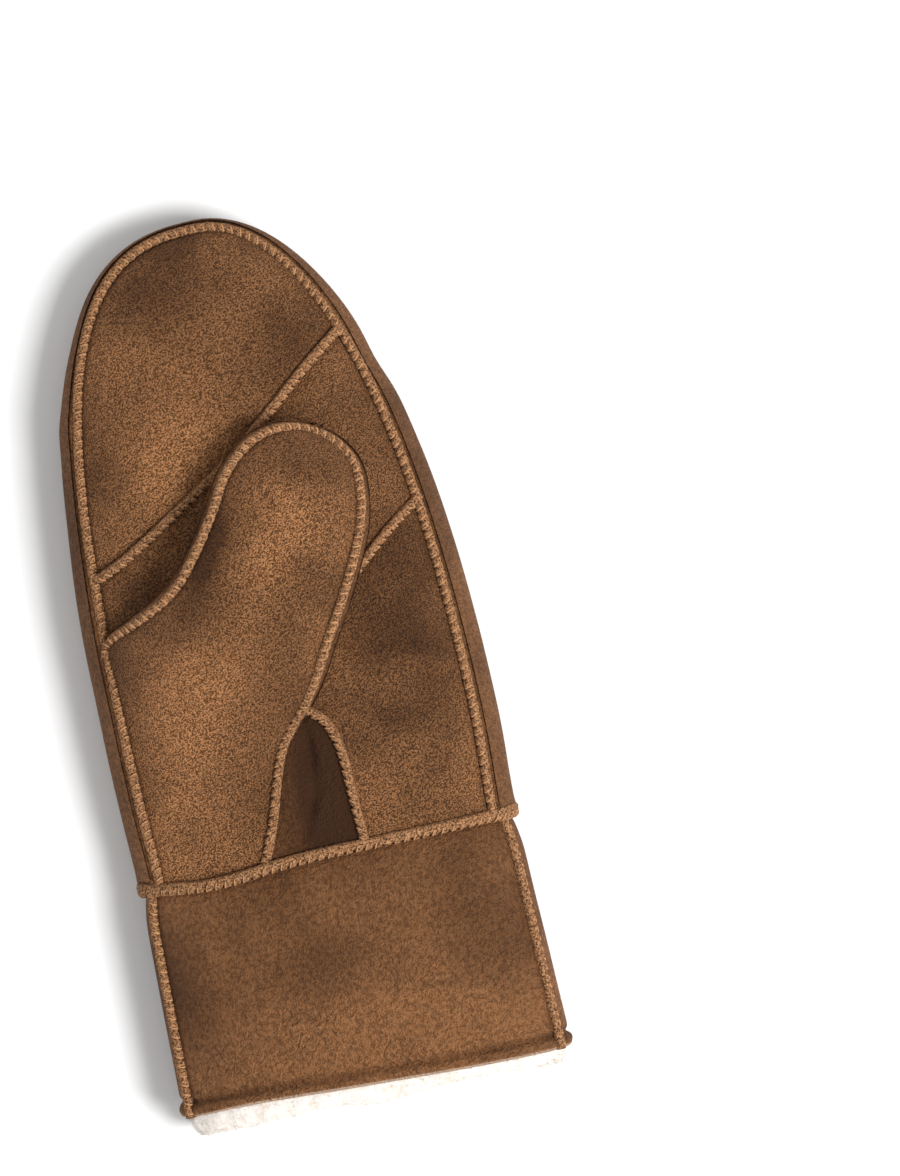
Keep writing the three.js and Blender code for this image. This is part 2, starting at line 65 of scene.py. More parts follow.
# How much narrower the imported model's flat facets are than the round rim, and how far the finished
# pieces stay over the floor
FACET_LOSS = 0.4 * MM
FLOOR_CLEARANCE = 0.05 * MM

# Superellipse exponents of the cross-sections, and (power, root) of the outline near the tip
PALM_ROUNDNESS = 2.5
BACK_ROUNDNESS = 3.2
THUMB_ROUNDNESS = 2.4
THUMB_SIDE_TIP = (4, 2.6)
LITTLE_SIDE_TIP = (2.9, 2)
PALM_SEAM_TIP = (4.4, 2.6)

# Lines on the palm, as shares of half the hand's width and of the hand's length
UPPER_DIAGONAL = [
    (-0.87, 0.486), (-0.695, 0.508), (-0.4, 0.56), (-0.1, 0.617),
    (0.148, 0.675), (0.4, 0.739), (0.63, 0.794),
]
LOWER_DIAGONAL = [
    (-0.13, 0.264), (0.13, 0.332), (0.356, 0.391), (0.495, 0.427), (0.652, 0.467), (0.85, 0.51),
]
HEEL_SEAM = [(0.21, 0), (0.198, 0.08), (0.192, 0.139), (0.174, 0.172), (0.131, 0.202), (0.04, 0.226)]
THUMB_SET_IN = [(-0.32, 0), (-0.235, 0.06), (-0.17, 0.12), (-0.1, 0.174), (0.03, 0.222)]
THUMB_ROOT = (-0.32, 0.278)
UNDER_THUMB = [(-0.9, 0.375), (-0.45, 0.305), (-0.13, 0.264)]

# Thumb sections: place along the thumb, half-widths to the left and right, height of the middle
# over the palm and half thickness, as shares of the thumb's length, half width and half thickness
THUMB_COLUMNS = ("along", "left", "right", "lift", "swell")
THUMB_SECTIONS = [
    (-0.44, 0.7, 0.84, -1.25, 0.8),
    (-0.25, 1.12, 0.86, -0.78, 0.95),
    (-0.1, 1.45, 0.88, -0.42, 1),
    (0, 1.6, 0.94, -0.1, 1),
    (0.1, 1.39, 0.99, 0.32, 1),
    (0.2, 1.17, 1.02, 0.7, 1),
    (0.31, 1, 1.02, 0.96, 1),
    (0.45, 0.92, 1.02, 1.05, 1),
    (0.6, 0.89, 0.99, 1.04, 0.98),
    (0.74, 0.89, 0.92, 1, 0.93),
    (0.86, 0.77, 0.76, 0.93, 0.82),
    (0.94, 0.56, 0.56, 0.85, 0.62),
    (0.985, 0.28, 0.28, 0.8, 0.34),
    (1, 0, 0, 0.78, 0),
]

# Where the thumb's seam starts on each side and where both sides meet, as shares of the thumb's
# length, and the stretch in which the seam climbs from the rim
THUMB_SEAM_START = {"left": -0.04, "right": 0.06}
THUMB_SEAM_END = 0.997
THUMB_CLIMB_START = -0.06
THUMB_CLIMB_SPAN = 0.3

# The wrist seam's bow below the thumb: its middle as a share of the hand's width, and its reach
WRIST_BOW_MIDDLE = -0.3
WRIST_BOW_REACH = 19 * MM


def length(name, description, default, **more):
    """A length in metres for a property group."""
    return FloatProperty(
        name=name, description=description, default=default, unit="LENGTH", precision=4, **more
    )


def colour(name, description, default):
    """A colour for a property group, linear red, green and blue."""
    return FloatVectorProperty(
        name=name, description=description, default=default, subtype="COLOR", size=3, min=0, max=1
    )


class MittenSizes(bpy.types.PropertyGroup):
    """The mitten's driving sizes."""

    hand_length: length("Hand Length", "From the wrist seam to the fingertips", 0.199)
    hand_width: length("Hand Width", "Across the palm", WALL_HIGH.x - WALL_LOW.x + FACET_LOSS)
    hand_thickness: length("Hand Thickness", "From the back to the palm", 0.038)
    rim_height: length("Rim Height", "Height of the widest line over the floor", 0.013)
    back_swell: length("Back Swell", "How far the back bulges before it is flattened", 0.0165)
    cuff_length: length("Cuff Length", "From the wrist seam to the mouth", 0.073)
    mouth_width: length("Mouth Width", "Across the cuff's mouth", 0.123)
    mouth_thickness: length("Mouth Thickness", "Height of the cuff's mouth", 0.035)
    mouth_slant: length("Mouth Slant", "How much longer the cuff is on the thumb side", 0.0025)
    waist_depth: length("Waist Depth", "How far the wrist seam pulls in", 0.0024)
    waist_reach: length("Waist Reach", "How far up the hand the pull shows", 0.021)
    waist_cuff_reach: length("Waist Cuff Reach", "How far down the cuff it shows", 0.008)
    wrist_bow: length("Wrist Bow", "How far the wrist seam dips below the thumb", 0.0026)
    thumb_length: length("Thumb Length", "From its root to its tip", 0.084)
    thumb_width: length("Thumb Width", "Across the thumb", 0.05)
    thumb_thickness: length("Thumb Thickness", "From its underside to its top", 0.02)
    thumb_angle: FloatProperty(
        name="Thumb Angle", description="Lean of the thumb over the palm",
        default=math.radians(31), subtype="ANGLE",
    )
    thumb_seam_angle: FloatProperty(
        name="Thumb Seam Angle", description="How far the thumb's seam climbs above its rim",
        default=math.radians(18), subtype="ANGLE",
    )
    cuff_seam_angle: FloatProperty(
        name="Cuff Seam Angle", description="How far the cuff's seams lie above its rim",
        default=math.radians(20), subtype="ANGLE",
    )
    leather: length("Leather", "Wall of a leather panel", 0.0018)
    fleece: length("Fleece", "Depth of the wool", 0.005)
    fleece_proud: length("Fleece Proud", "How far the wool stands out of the mouth", 0.0052)
    seam_width: length("Seam Width", "Across an overcast seam", 0.003)
    seam_rise: length("Seam Rise", "Height of an overcast seam", 0.0016)
    wrist_seam_width: length("Wrist Seam Width", "Across the wrist seam", 0.0038)
    wrist_seam_rise: length("Wrist Seam Rise", "Height of the wrist seam", 0.002)
    palm_seam_inset: length("Palm Seam Inset", "From the rim to the palm's edge seam", 0.0058)
    palm_seam_tip_inset: length("Palm Seam Tip Inset", "The same at the fingertips", 0.0015)
    back_seam_inset: length("Back Seam Inset", "From the rim to the back's edge seam", 0.0036)
    stitch_pitch: length("Stitch Pitch", "From one overcast stitch to the next", 0.003)


class MittenColours(bpy.types.PropertyGroup):
    """The mitten's colours."""

    suede: colour("Suede", "Nap of the hand's panels", (0.15, 0.058, 0.0175))
    # The lit suede is painted highlight on the nap's raised fibre ends and on the painted light
    # strokes, and the light end of its brushed patches
    suede_lit: colour("Suede Brushed", "Nap brushed the light way", (0.84, 0.385, 0.155))
    # The dark suede is painted shade in the nap's pits and in the painted shade strokes, and the dark
    # end of its brushed patches
    suede_dark_and_shade: colour("Suede Dark", "Nap brushed the dark way", (0.03, 0.0105, 0.003))
    leather: colour("Cuff Leather", "Smooth leather of the cuff", (0.165, 0.065, 0.019))
    # The worn leather is painted highlight where the grain stands high, and the light end of its worn
    # patches and of the mesh's tone
    leather_lit: colour("Cuff Leather Worn", "Its worn patches", (0.5, 0.22, 0.085))
    # The dark leather is painted shade in the wrinkles, the hem's crease, beside the gusset's fold
    # and where the grain is low, and the dark end of its worn patches
    leather_dark_and_shade: colour("Cuff Leather Dark", "Its creases", (0.07, 0.024, 0.007))
    cut_edge: colour("Cut Edge", "Raw edge of the mouth", (0.72, 0.5, 0.35))
    seam: colour("Seam Edge", "Raw edge in the seams", (0.05, 0.02, 0.007))
    seam_light: colour("Seam Fibre", "Pale fibres in the seams", (0.46, 0.23, 0.105))
    thread: colour("Thread", "Overcast thread", (0.6, 0.33, 0.16))
    fleece: colour("Fleece", "Wool of the lining", (0.92, 0.86, 0.8))
    fleece_shade: colour("Fleece Shade", "Wool between its clumps", (0.78, 0.68, 0.59))
    floor: colour("Floor", "The pale floor", (0.9, 0.9, 0.9))


def sizes():
    """The mitten's sizes."""
    return bpy.context.scene.mitten_sizes


def colours():
    """The mitten's colours."""
    return bpy.context.scene.mitten_colours


def unit(vectors):
    """The vectors, each divided by its length."""
    return vectors / np.maximum(np.linalg.norm(vectors, axis=-1, keepdims=True), TINY)


def lerp(start, end, share):
    """start + (end - start) * share."""
    return start + (end - start) * share


def signed_power(value, power):
    """The value's sign times its size to a power."""
    return np.sign(value) * np.abs(value) ** power


def round_off(share, tip):
    """The root of 1 - share to the power: 1 at the wrist, falling to 0 at the tip."""
    power, root = tip
    return np.clip(1 - np.clip(share, 0, 1) ** power, 0, None) ** (1 / root)


def bell(distance, reach):
    """exp(-(distance / reach)^2): 1 in the middle, gone at about twice the reach."""
    return np.exp(-((distance / reach) ** 2))


def smooth_max(a, b, blend):
    """(a + b + root((a - b)^2 + blend^2)) / 2, a maximum with a rounded corner."""
    return (a + b + np.sqrt((a - b) ** 2 + blend**2)) / 2


def smooth_noise(points, wavelength, seed, waves=12):
    """Soft bumps between about -1 and 1: a sum of plane waves in seeded directions, whose
    lengths lie round the wavelength."""
    rng = np.random.default_rng(seed)
    directions = unit(rng.normal(size=(waves, 3)))
    lengths = wavelength * rng.uniform(0.7, 1.5, waves)
    phases = rng.uniform(0, TAU, waves)
    angle = points @ (directions * (TAU / lengths)[:, None]).T + phases
    return np.sin(angle).sum(-1) / math.sqrt(2 * waves)


def waist_at(y):
    """How far the wrist seam draws the body in: a bell, longer up the hand than down the cuff."""
    s = sizes()
    return s.waist_depth * bell(y, np.where(y < 0, s.waist_cuff_reach, s.waist_reach))


def body_section(y, inset):
    """Half-widths, rise, drop and floor of the body's cross-section. The cuff widens in a
    straight line to its mouth, the hand is rounded off to its tip and the waist is a bell."""
    s = sizes()
    waist = waist_at(y)
    cuff = np.clip(-y / s.cuff_length, 0, None)
    share = np.clip(y / (s.hand_length - inset), 0, 1)
    half_width = lerp(s.hand_width, s.mouth_width, cuff) / 2 - inset - waist / 2
    thickness = lerp(s.hand_thickness, s.mouth_thickness, cuff)
    swell = round_off(share, THUMB_SIDE_TIP)
    return {
        "left": half_width * swell,
        "right": half_width * round_off(share, LITTLE_SIDE_TIP),
        "rise": (thickness - s.rim_height - inset - waist) * swell,
        "drop": (s.back_swell - inset) * swell,
        "floor": inset + waist,
    }


def body_point(angle, y, inset=0.0):
    """A point of the body: a superellipse round the rim's height, flattened at the floor. The
    angle is 0 at the little-finger rim and a quarter turn on the palm."""
    s = sizes()
    section = body_section(y, inset)
    palm = np.sin(angle) >= 0
    power = 2 / np.where(palm, PALM_ROUNDNESS, BACK_ROUNDNESS)
    across = signed_power(np.cos(angle), power)
    x = across * np.where(across > 0, section["right"], section["left"])
    height = signed_power(np.sin(angle), power) * np.where(palm, section["rise"], section["drop"])
    slant = np.where(y < 0, 2 * s.mouth_slant * y * x / (s.cuff_length * s.hand_width), 0)
    z = np.maximum(section["floor"], s.rim_height + height)
    return np.stack(np.broadcast_arrays(x, y + slant, z), -1)


def surface_height(x, y, palm=True):
    """Height of the palm's or the back's skin over a place (x, y)."""
    section = body_section(y, 0.0)
    side = np.maximum(np.where(x > 0, section["right"], section["left"]), TINY)
    roundness = PALM_ROUNDNESS if palm else BACK_ROUNDNESS
    share = np.clip(np.abs(x) / side, 0, 1)
    arch = (1 - share**roundness) ** (1 / roundness)
    rise = section["rise"] if palm else -section["drop"]
    return np.maximum(section["floor"], sizes().rim_height + arch * rise)


def on_skin(x, y, palm=True):
    """Places (x, y) lifted to the palm's or the back's skin."""
    return np.stack(np.broadcast_arrays(x, y, surface_height(x, y, palm)), -1)


def skin_normal(x, y, palm=True, step=0.4 * MM):
    """The skin's outward direction: the gradient of its height, by differences."""
    along_x = surface_height(x + step, y, palm) - surface_height(x - step, y, palm)
    along_y = surface_height(x, y + step, palm) - surface_height(x, y - step, palm)
    normal = unit(np.stack(np.broadcast_arrays(-along_x, -along_y, 2 * step), -1))
    return normal if palm else -normal


def thumb_table(column, along):
    """One column of the thumb's sections at a place along it, on cubic pieces through the rows
    whose slopes are those of the chords round each row."""
    rows = np.array(THUMB_SECTIONS)
    places = rows[:, 0]
    values = rows[:, THUMB_COLUMNS.index(column)]
    outer = np.concatenate([[0], np.arange(len(rows)), [len(rows) - 1]])
    slopes = (values[outer[2:]] - values[outer[:-2]]) / (places[outer[2:]] - places[outer[:-2]])
    i = np.clip(np.searchsorted(places, along, side="right") - 1, 0, len(rows) - 2)
    span = places[i + 1] - places[i]
    t = np.clip((along - places[i]) / span, 0, 1)
    ends = values[i] * (1 + 2 * t) * (1 - t) ** 2 + values[i + 1] * t**2 * (3 - 2 * t)
    return ends + span * t * (1 - t) * (slopes[i] * (1 - t) - slopes[i + 1] * t)


def thumb_side(along, across):
    """The thumb's half-width as a share, on the side where across is below 0 or above."""
    return np.where(across < 0, thumb_table("left", along), thumb_table("right", along))


def thumb_point(angle, along):
    """A point of the thumb: a superellipse across its middle line, which follows the palm."""
    s = sizes()
    sine, cosine = math.sin(s.thumb_angle), math.cos(s.thumb_angle)
    power = 2 / THUMB_ROUNDNESS
    side = thumb_side(along, np.cos(angle))
    across = signed_power(np.cos(angle), power) * side * s.thumb_width / 2
    x = THUMB_ROOT[0] * s.hand_width / 2 + along * s.thumb_length * sine + across * cosine
    y = THUMB_ROOT[1] * s.hand_length + along * s.thumb_length * cosine - across * sine
    bulge = signed_power(np.sin(angle), power) * thumb_table("swell", along)
    lift = (thumb_table("lift", along) + bulge) * s.thumb_thickness / 2
    return np.stack(np.broadcast_arrays(x, y, surface_height(x, y) + lift), -1)


def thumb_bulge(x, y):
    """How far the thumb's top stands over the palm at (x, y), falling away outside its rim."""
    s = sizes()
    sine, cosine = math.sin(s.thumb_angle), math.cos(s.thumb_angle)
    dx = x - THUMB_ROOT[0] * s.hand_width / 2
    dy = y - THUMB_ROOT[1] * s.hand_length
    along = (dx * sine + dy * cosine) / s.thumb_length
    across = dx * cosine - dy * sine
    side = thumb_side(along, across)
    share = np.abs(across) / np.maximum(side * s.thumb_width / 2, TINY)
    arch = np.clip(1 - share**THUMB_ROUNDNESS, 0, None) ** (1 / THUMB_ROUNDNESS)
    lift = thumb_table("lift", along) + arch * thumb_table("swell", along)
    return (lift - 2 * np.clip(share - 1, 0, 4)) * s.thumb_thickness / 2


def smooth_line(rows, count=200):
    """Points on a Catmull-Rom curve through rows that are shares of the hand's half width and
    length: each cubic piece leaves a row along the chord between its two neighbours."""
    s = sizes()
    rows = np.array(rows, float) * (s.hand_width / 2, s.hand_length)
    padded = np.vstack([rows[:1], rows, rows[-1:]])
    place = np.linspace(0, len(rows) - 1, count)
    piece = np.minimum(place.astype(int), len(rows) - 2)
    t = (place - piece)[:, None]
    before, start, end, after = (padded[piece + k] for k in range(4))
    leave, arrive = (end - before) / 2, (after - start) / 2
    cubic = (2 * start - 2 * end + leave + arrive) * t**3
    square = (3 * end - 3 * start - 2 * leave - arrive) * t**2
    return cubic + square + leave * t + start


def run_of(points, axis=0):
    """Distance run along an array of points, from 0 at its start."""
    steps = np.linalg.norm(np.diff(points, axis=axis), axis=-1)
    start = np.zeros_like(np.take(steps, [0], axis=axis))
    return np.concatenate([start, np.cumsum(steps, axis=axis)], axis=axis)


def read_at(wanted, places, rows):
    """Rows that stand at places, read at the wanted places between them."""
    return np.stack([np.interp(wanted, places, column) for column in rows.T], -1)


def even(line, count=400):
    """The line with its points at even distances."""
    run = run_of(line)
    return read_at(np.linspace(0, run[-1], count), run, line)


def at(line, share):
    """Points of a line with even points, at shares of its length."""
    return read_at(share, np.linspace(0, 1, len(line)), line)


def tip_fall(side, share, thumb_tip=THUMB_SIDE_TIP):
    """round_off of the share, with one tip on the thumb side, below 0, and one on the other."""
    return np.where(side < 0, round_off(share, thumb_tip), round_off(share, LITTLE_SIDE_TIP))


def rim_line(turn, inset, tip_inset, thumb_tip=THUMB_SIDE_TIP):
    """The place (x, y) of a line inside the rim at a turn, which runs from -1 at the thumb-side
    wrist over 0 at the tip to 1: y is the turn's cosine of the reach, and x falls to 0 there."""
    s = sizes()
    share = np.cos(turn * math.pi / 2)
    side = np.where(turn < 0, -1.0, 1.0)
    y = share * (s.hand_length - tip_inset)
    return side * ((s.hand_width - waist_at(y)) / 2 - inset) * tip_fall(side, share, thumb_tip), y


def rim_turns(count):
    """Turns at even distances round the rim."""
    s = sizes()
    fine = np.linspace(-1, 1, 6001)
    share = np.cos(fine * math.pi / 2)
    x = np.sign(fine) * tip_fall(fine, share) * s.hand_width / 2
    run = run_of(np.stack([x, share * s.hand_length], -1))
    return np.interp(np.linspace(0, run[-1], count), run, fine)


def palm_seam_at(turn):
    """The palm's edge seam at a turn round the rim."""
    s = sizes()
    return np.stack(rim_line(turn, s.palm_seam_inset, s.palm_seam_tip_inset, PALM_SEAM_TIP), -1)


def back_seam_at(turn):
    """The back's edge seam at a turn round the rim."""
    inset = sizes().back_seam_inset
    return np.stack(rim_line(turn, inset, inset), -1)


def palm_seam_between(start, end, count=400):
    """The palm's edge seam between two places, each a side and a height."""
    reach = sizes().hand_length - sizes().palm_seam_tip_inset
    turns = [side * math.acos(min(1, y / reach)) * 2 / math.pi for side, y in (start, end)]
    return palm_seam_at(np.linspace(*turns, count))


def wrist_at(x):
    """The wrist seam's y on the palm: a straight line that bows below the thumb."""
    s = sizes()
    return -s.wrist_bow * bell(x - WRIST_BOW_MIDDLE * s.hand_width, WRIST_BOW_REACH)


def wrist_between(start_x, end_x, count=60):
    """The wrist seam on the palm between two places across."""
    x = np.linspace(start_x, end_x, count)
    return np.stack([x, wrist_at(x)], -1)


# How steeply a line's ends are drawn aside, how much closer grids crowd at their edges, and the
# largest share of a grid that one gap may take
END_DRAW = 8
CROWDING = 0.82
LARGEST_GAP = 0.45


def palm_lines():
    """The lines that part the palm's panels, each as even points from left to right or up."""
    upper, lower = smooth_line(UPPER_DIAGONAL), smooth_line(LOWER_DIAGONAL)
    under = smooth_line(UNDER_THUMB)
    upper_left, upper_right = (-1, upper[0, 1]), (1, upper[-1, 1])
    lower_right = (1, lower[-1, 1])
    lines = {
        "upper": upper,
        "lower": lower,
        "heel": smooth_line(HEEL_SEAM),
        "set_in": smooth_line(THUMB_SET_IN),
        "under": under,
        "right_of_middle": palm_seam_between(lower_right, upper_right),
        "right_of_heel": palm_seam_between((1, 0), lower_right),
        "left_of_middle": palm_seam_between((-1, under[0, 1]), upper_left),
        "over_tip": palm_seam_between(upper_left, upper_right, 1200),
    }
    # The ends of a line are drawn to the seams that they run into, as its share to a high power
    for name, (first, last) in {
        "upper": (lines["left_of_middle"][-1], lines["right_of_middle"][-1]),
        "lower": (lines["lower"][0], lines["right_of_heel"][-1]),
        "under": (lines["left_of_middle"][0], lines["lower"][0]),
    }.items():
        line = lines[name]
        ease = np.linspace(0, 1, len(line))[:, None]
        drawn = (first - line[0]) * (1 - ease) ** END_DRAW + (last - line[-1]) * ease**END_DRAW
        lines[name] = line + drawn
    return {name: even(line) for name, line in lines.items()}


def coons(bottom, top, left, right, u, v):
    """A Coons patch in four lines: the ruled surface from bottom to top, plus the one from left
    to right, less the two-way blend of the four corners."""
    u_, v_ = u[..., None], v[..., None]
    ruled = at(bottom, u) * (1 - v_) + at(top, u) * v_ + at(left, v) * (1 - u_) + at(right, v) * u_
    low = bottom[0] * (1 - u_) + bottom[-1] * u_
    high = top[0] * (1 - u_) + top[-1] * u_
    return ruled - low * (1 - v_) - high * v_


def spaced(count):
    """Shares from 0 to 1, ten times closer together at both ends than in the middle: an even
    share less part of a full sine wave."""
    t = np.linspace(0, 1, count)
    return t - CROWDING * np.sin(TAU * t) / TAU


def panel_grid(patch, rows, columns, gaps):
    """Samples a patch of (u, v), drawn in at its left, right, low and high edge by the gaps."""
    u, v = np.meshgrid(spaced(columns), spaced(rows))
    coarse = patch(u, v)
    wide = np.maximum(run_of(coarse, axis=1)[:, -1:], TINY)
    high = np.maximum(run_of(coarse, axis=0)[-1:, :], TINY)
    from_left, from_right = (np.minimum(gap / wide, LARGEST_GAP) for gap in gaps[:2])
    from_bottom, from_top = (np.minimum(gap / high, LARGEST_GAP) for gap in gaps[2:])
    return patch(
        from_left + u * (1 - from_left - from_right),
        from_bottom + v * (1 - from_bottom - from_top),
    )


def grid_normals(points):
    """Unit directions square to a grid: its steps across crossed with its steps down."""
    down = np.gradient(points, axis=0)
    across = np.gradient(points, axis=1)
    return unit(np.cross(across, down))


def edge_distances(points):
    """Distance of each grid point from the left, right, low and high edge, on the surface."""
    across = run_of(points, axis=1)
    down = run_of(points, axis=0)
    return across, across[:, -1:] - across, down, down[-1:, :] - down


def grid_faces(rows, columns, start=0, close_rows=False, close_columns=False):
    """The squares of a grid of points, joined round where a direction is closed."""
    r = np.arange(rows if close_rows else rows - 1)[:, None]
    c = np.arange(columns if close_columns else columns - 1)[None, :]
    r2, c2 = (r + 1) % rows, (c + 1) % columns
    corners = [r * columns + c, r * columns + c2, r2 * columns + c2, r2 * columns + c]
    return np.stack(np.broadcast_arrays(*corners), -1).reshape(-1, 4) + start


def shell(outer, thickness):
    """A closed wall: a grid, the same grid sunk by the thickness, and a strip round the edge."""
    rows, columns = outer.shape[:2]
    inner = outer - grid_normals(outer) * thickness
    top = grid_faces(rows, columns)
    count = rows * columns
    index = np.arange(count).reshape(rows, columns)
    edge = np.concatenate([index[0], index[1:, -1], index[-1, -2::-1], index[-2:0:-1, 0]])
    following = np.roll(edge, -1)
    strip = np.stack([following, edge, edge + count, following + count], -1)
    vertices = np.concatenate([outer.reshape(-1, 3), inner.reshape(-1, 3)])
    return vertices, np.concatenate([top, top[:, ::-1] + count, strip])


def frames_along(path, normals, closed=False):
    """Travel, sideways and outward directions along a path."""
    if closed:
        travel = unit(np.roll(path, -1, axis=0) - np.roll(path, 1, axis=0))
    else:
        travel = unit(np.gradient(path, axis=0))
    side = unit(np.cross(travel, normals))
    return travel, side, np.cross(side, travel)


def put_mesh(name, parts, materials, node, tone=None):
    """One object from (vertices, faces, material number) parts, moved to the frame and kept off
    the floor, riding on the mitten and standing for its node. Points that meet are merged, so
    poles are closed. tone, which is mostly painted light and shade, goes to the materials as the
    attribute brushed."""
    vertices, loops, counts, numbers = [], [], [], []
    start = 0
    for points, faces, number in parts:
        vertices.append(points.reshape(-1, 3))
        loops.append(faces.ravel() + start)
        counts.append(np.full(len(faces), faces.shape[1]))
        numbers.append(np.full(len(faces), number))
        start += len(vertices[-1])
    vertices = np.concatenate(vertices)
    vertices[:, 1] += WALL_HIGH.y - sizes().hand_length
    vertices[:, 2] = np.maximum(vertices[:, 2], FLOOR_CLEARANCE)
    loops, counts, numbers = map(np.concatenate, (loops, counts, numbers))
    mesh = bpy.data.meshes.new(name)
    mesh.vertices.add(len(vertices))
    mesh.vertices.foreach_set("co", vertices.astype(np.float32).ravel())
    mesh.loops.add(len(loops))
    mesh.loops.foreach_set("vertex_index", loops.astype(np.int32))
    mesh.polygons.add(len(counts))
    mesh.polygons.foreach_set("loop_start", (np.cumsum(counts) - counts).astype(np.int32))
    mesh.polygons.foreach_set("material_index", numbers.astype(np.int32))
    mesh.update(calc_edges=True)
    mesh.validate()
    if tone is not None:
        brushed = mesh.attributes.new("brushed", "FLOAT", "POINT")
        brushed.data.foreach_set("value", tone.astype(np.float32))
    close_poles(mesh)
    mesh.polygons.foreach_set("use_smooth", np.full(len(mesh.polygons), True))
    piece = put_on_scene(name, mesh)
    for material in materials:
        mesh.materials.append(material_named(material))
    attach(piece, "root")
    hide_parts(node)


def close_poles(mesh, reach=1e-6):
    """Merges points that lie on each other and drops the faces that this leaves flat."""
    work = bmesh.new()
    work.from_mesh(mesh)
    bmesh.ops.remove_doubles(work, verts=work.verts, dist=reach)
    bmesh.ops.dissolve_degenerate(work, edges=work.edges, dist=reach)
    work.to_mesh(mesh)
    work.free()


# Panels

# Soft leather between its seams: how far an edge tucks in and how far along that shows, how far
# the middle swells and over what distance, the radius of a cut edge, and the lumps' rise and length
TUCK_DEPTH = 0.7 * MM
TUCK_REACH = 1.9 * MM
PAD_RISE = 0.5 * MM
PAD_REACH = 14 * MM
CUT_RADIUS = 0.7 * MM
LUMP_RISE = 0.35 * MM
LUMP_LENGTH = 34 * MM

# How far a panel's edge stays from the middle of its seam, as a share of the seam's width
SEAM_COVER = 0.32


def soft_lift(points, sewn, seed, softness):
    """How far leather stands over its plain surface: a tuck along each sewn edge, a pad that
    swells between them, soft lumps, and a rounded edge all round."""
    distances = edge_distances(points)
    nearest_seam = np.minimum.reduce([d for d, stitched in zip(distances, sewn) if stitched])
    nearest_edge = np.minimum.reduce(distances)
    tuck = -TUCK_DEPTH * bell(nearest_seam, TUCK_REACH)
    pad = PAD_RISE * (1 - bell(nearest_seam, PAD_REACH))
    lumps = LUMP_RISE * smooth_noise(points, LUMP_LENGTH, seed)
    lumps = lumps * (1 - bell(nearest_seam, PAD_REACH / 2))
    inside = np.clip(1 - nearest_edge / CUT_RADIUS, 0, 1)
    rounding = -CUT_RADIUS * (1 - np.sqrt(1 - inside**2))
    return softness * (tuck + pad + lumps) + rounding


# Strokes of tone, light where the amount is below 0 and dark where it is above: mostly painted
# light and shade, the rest plain lighter and darker patches. Ends as shares of half the hand's
# width and of the hand's length, reach in metres, amount
TONE_AND_PAINTED_SHADING = [
    # Painted highlight along the crest of the finger panel's fold
    ((-0.42, 0.6), (0.26, 0.95), 11 * MM, -0.3),
    # Painted light where the thumb's shadow falls on the finger panel
    ((-0.5, 0.6), (-0.12, 0.665), 8 * MM, -0.9),
    ((0.35, 0.74), (0.5, 0.86), 11 * MM, 0.15),
    ((-0.3, 0.93), (0.1, 0.99), 8 * MM, 0.2),
    ((-0.8, 0.06), (-0.15, 0.42), 22 * MM, -0.6),
    ((-0.1, 0.36), (0.28, 0.62), 9 * MM, -0.6),
    # Painted shade along the thumb's left side
    ((-0.44, 0.4), (-0.02, 0.6), 5 * MM, 0.7),
    ((0.1, 0.55), (0.6, 0.66), 12 * MM, 0.4),
    # Painted shade on the heel panel, right of the thumb
    ((0.55, 0.1), (0.6, 0.4), 16 * MM, 0.35),
    ((-1.6, -0.3), (1.6, -0.28), 14 * MM, -0.75),
    # Painted shade down the cuff's thumb-side edge
    ((-0.95, -0.05), (-0.85, -0.3), 8 * MM, 0.2),
]


# The slot of each leather and its material
LEATHERS = {"suede": "Suede", "cuff_leather": "Cuff Leather"}


def leather_panel(name, patch, size, seams, slot, seed, reliefs=(), worn=(), sewn=(1, 1, 1, 1),
                  softness=1.0):
    """A leather panel from a patch of (u, v): its grid, its soft lift, its own reliefs and its
    wall. The grid's outward side is up where u runs to +x and v to +y. seams are the widths of
    those at its left, right, low and high edge, and worn adds to its tone: painted shadow on the
    gusset, and the pale cut edge and the painted shade of the hem's crease on the cuff. The tone
    is mostly painted light and shade."""
    points = panel_grid(patch, *size, [width * SEAM_COVER for width in seams])
    lift = soft_lift(points, sewn, seed, softness)
    lift = lift + sum(relief(points) for relief in reliefs)
    outer = points + grid_normals(points) * lift[..., None]
    # Tone: the strokes of painted light and shade and of plain tone, plus what worn adds
    tone = sum(part(points) for part in (crease_lift(TONE_AND_PAINTED_SHADING), *worn))
    vertices, faces = shell(outer, sizes().leather)
    put_mesh(f"{name}_skin", [(vertices, faces, 0)], [LEATHERS[slot]], name,
             tone=np.tile(tone.ravel(), 2))


def palm_patch(*lines):
    """A patch of the palm's skin inside its low, high, left and right line."""
    def patch(u, v):
        place = coons(*lines, u, v)
        return on_skin(place[..., 0], place[..., 1])
    return patch


def point_line(point):
    """A line that is all in one point, for a patch with a corner in place of an edge."""
    return np.repeat(np.array(point)[None], 2, axis=0)


# Creases: ends as shares of half the hand's width and of the hand's length, width and depth in
# metres, a negative depth for a fold that stands up
GUSSET_CREASES = [
    ((0.03, 0.205), (0.02, 0.1), 2.0 * MM, 2.8 * MM),
    ((0.02, 0.1), (-0.06, 0.045), 1.6 * MM, 2.2 * MM),
    ((-0.06, 0.045), (-0.13, 0.012), 1.3 * MM, 1.2 * MM),
    ((-0.05, 0.17), (-0.12, 0.08), 6 * MM, -1.1 * MM),
]
# Painted shadow on the gusset, beside its fold
GUSSET_SHADE = [((0.13, 0.3), (0.08, -0.12), 12 * MM, 2.0)]
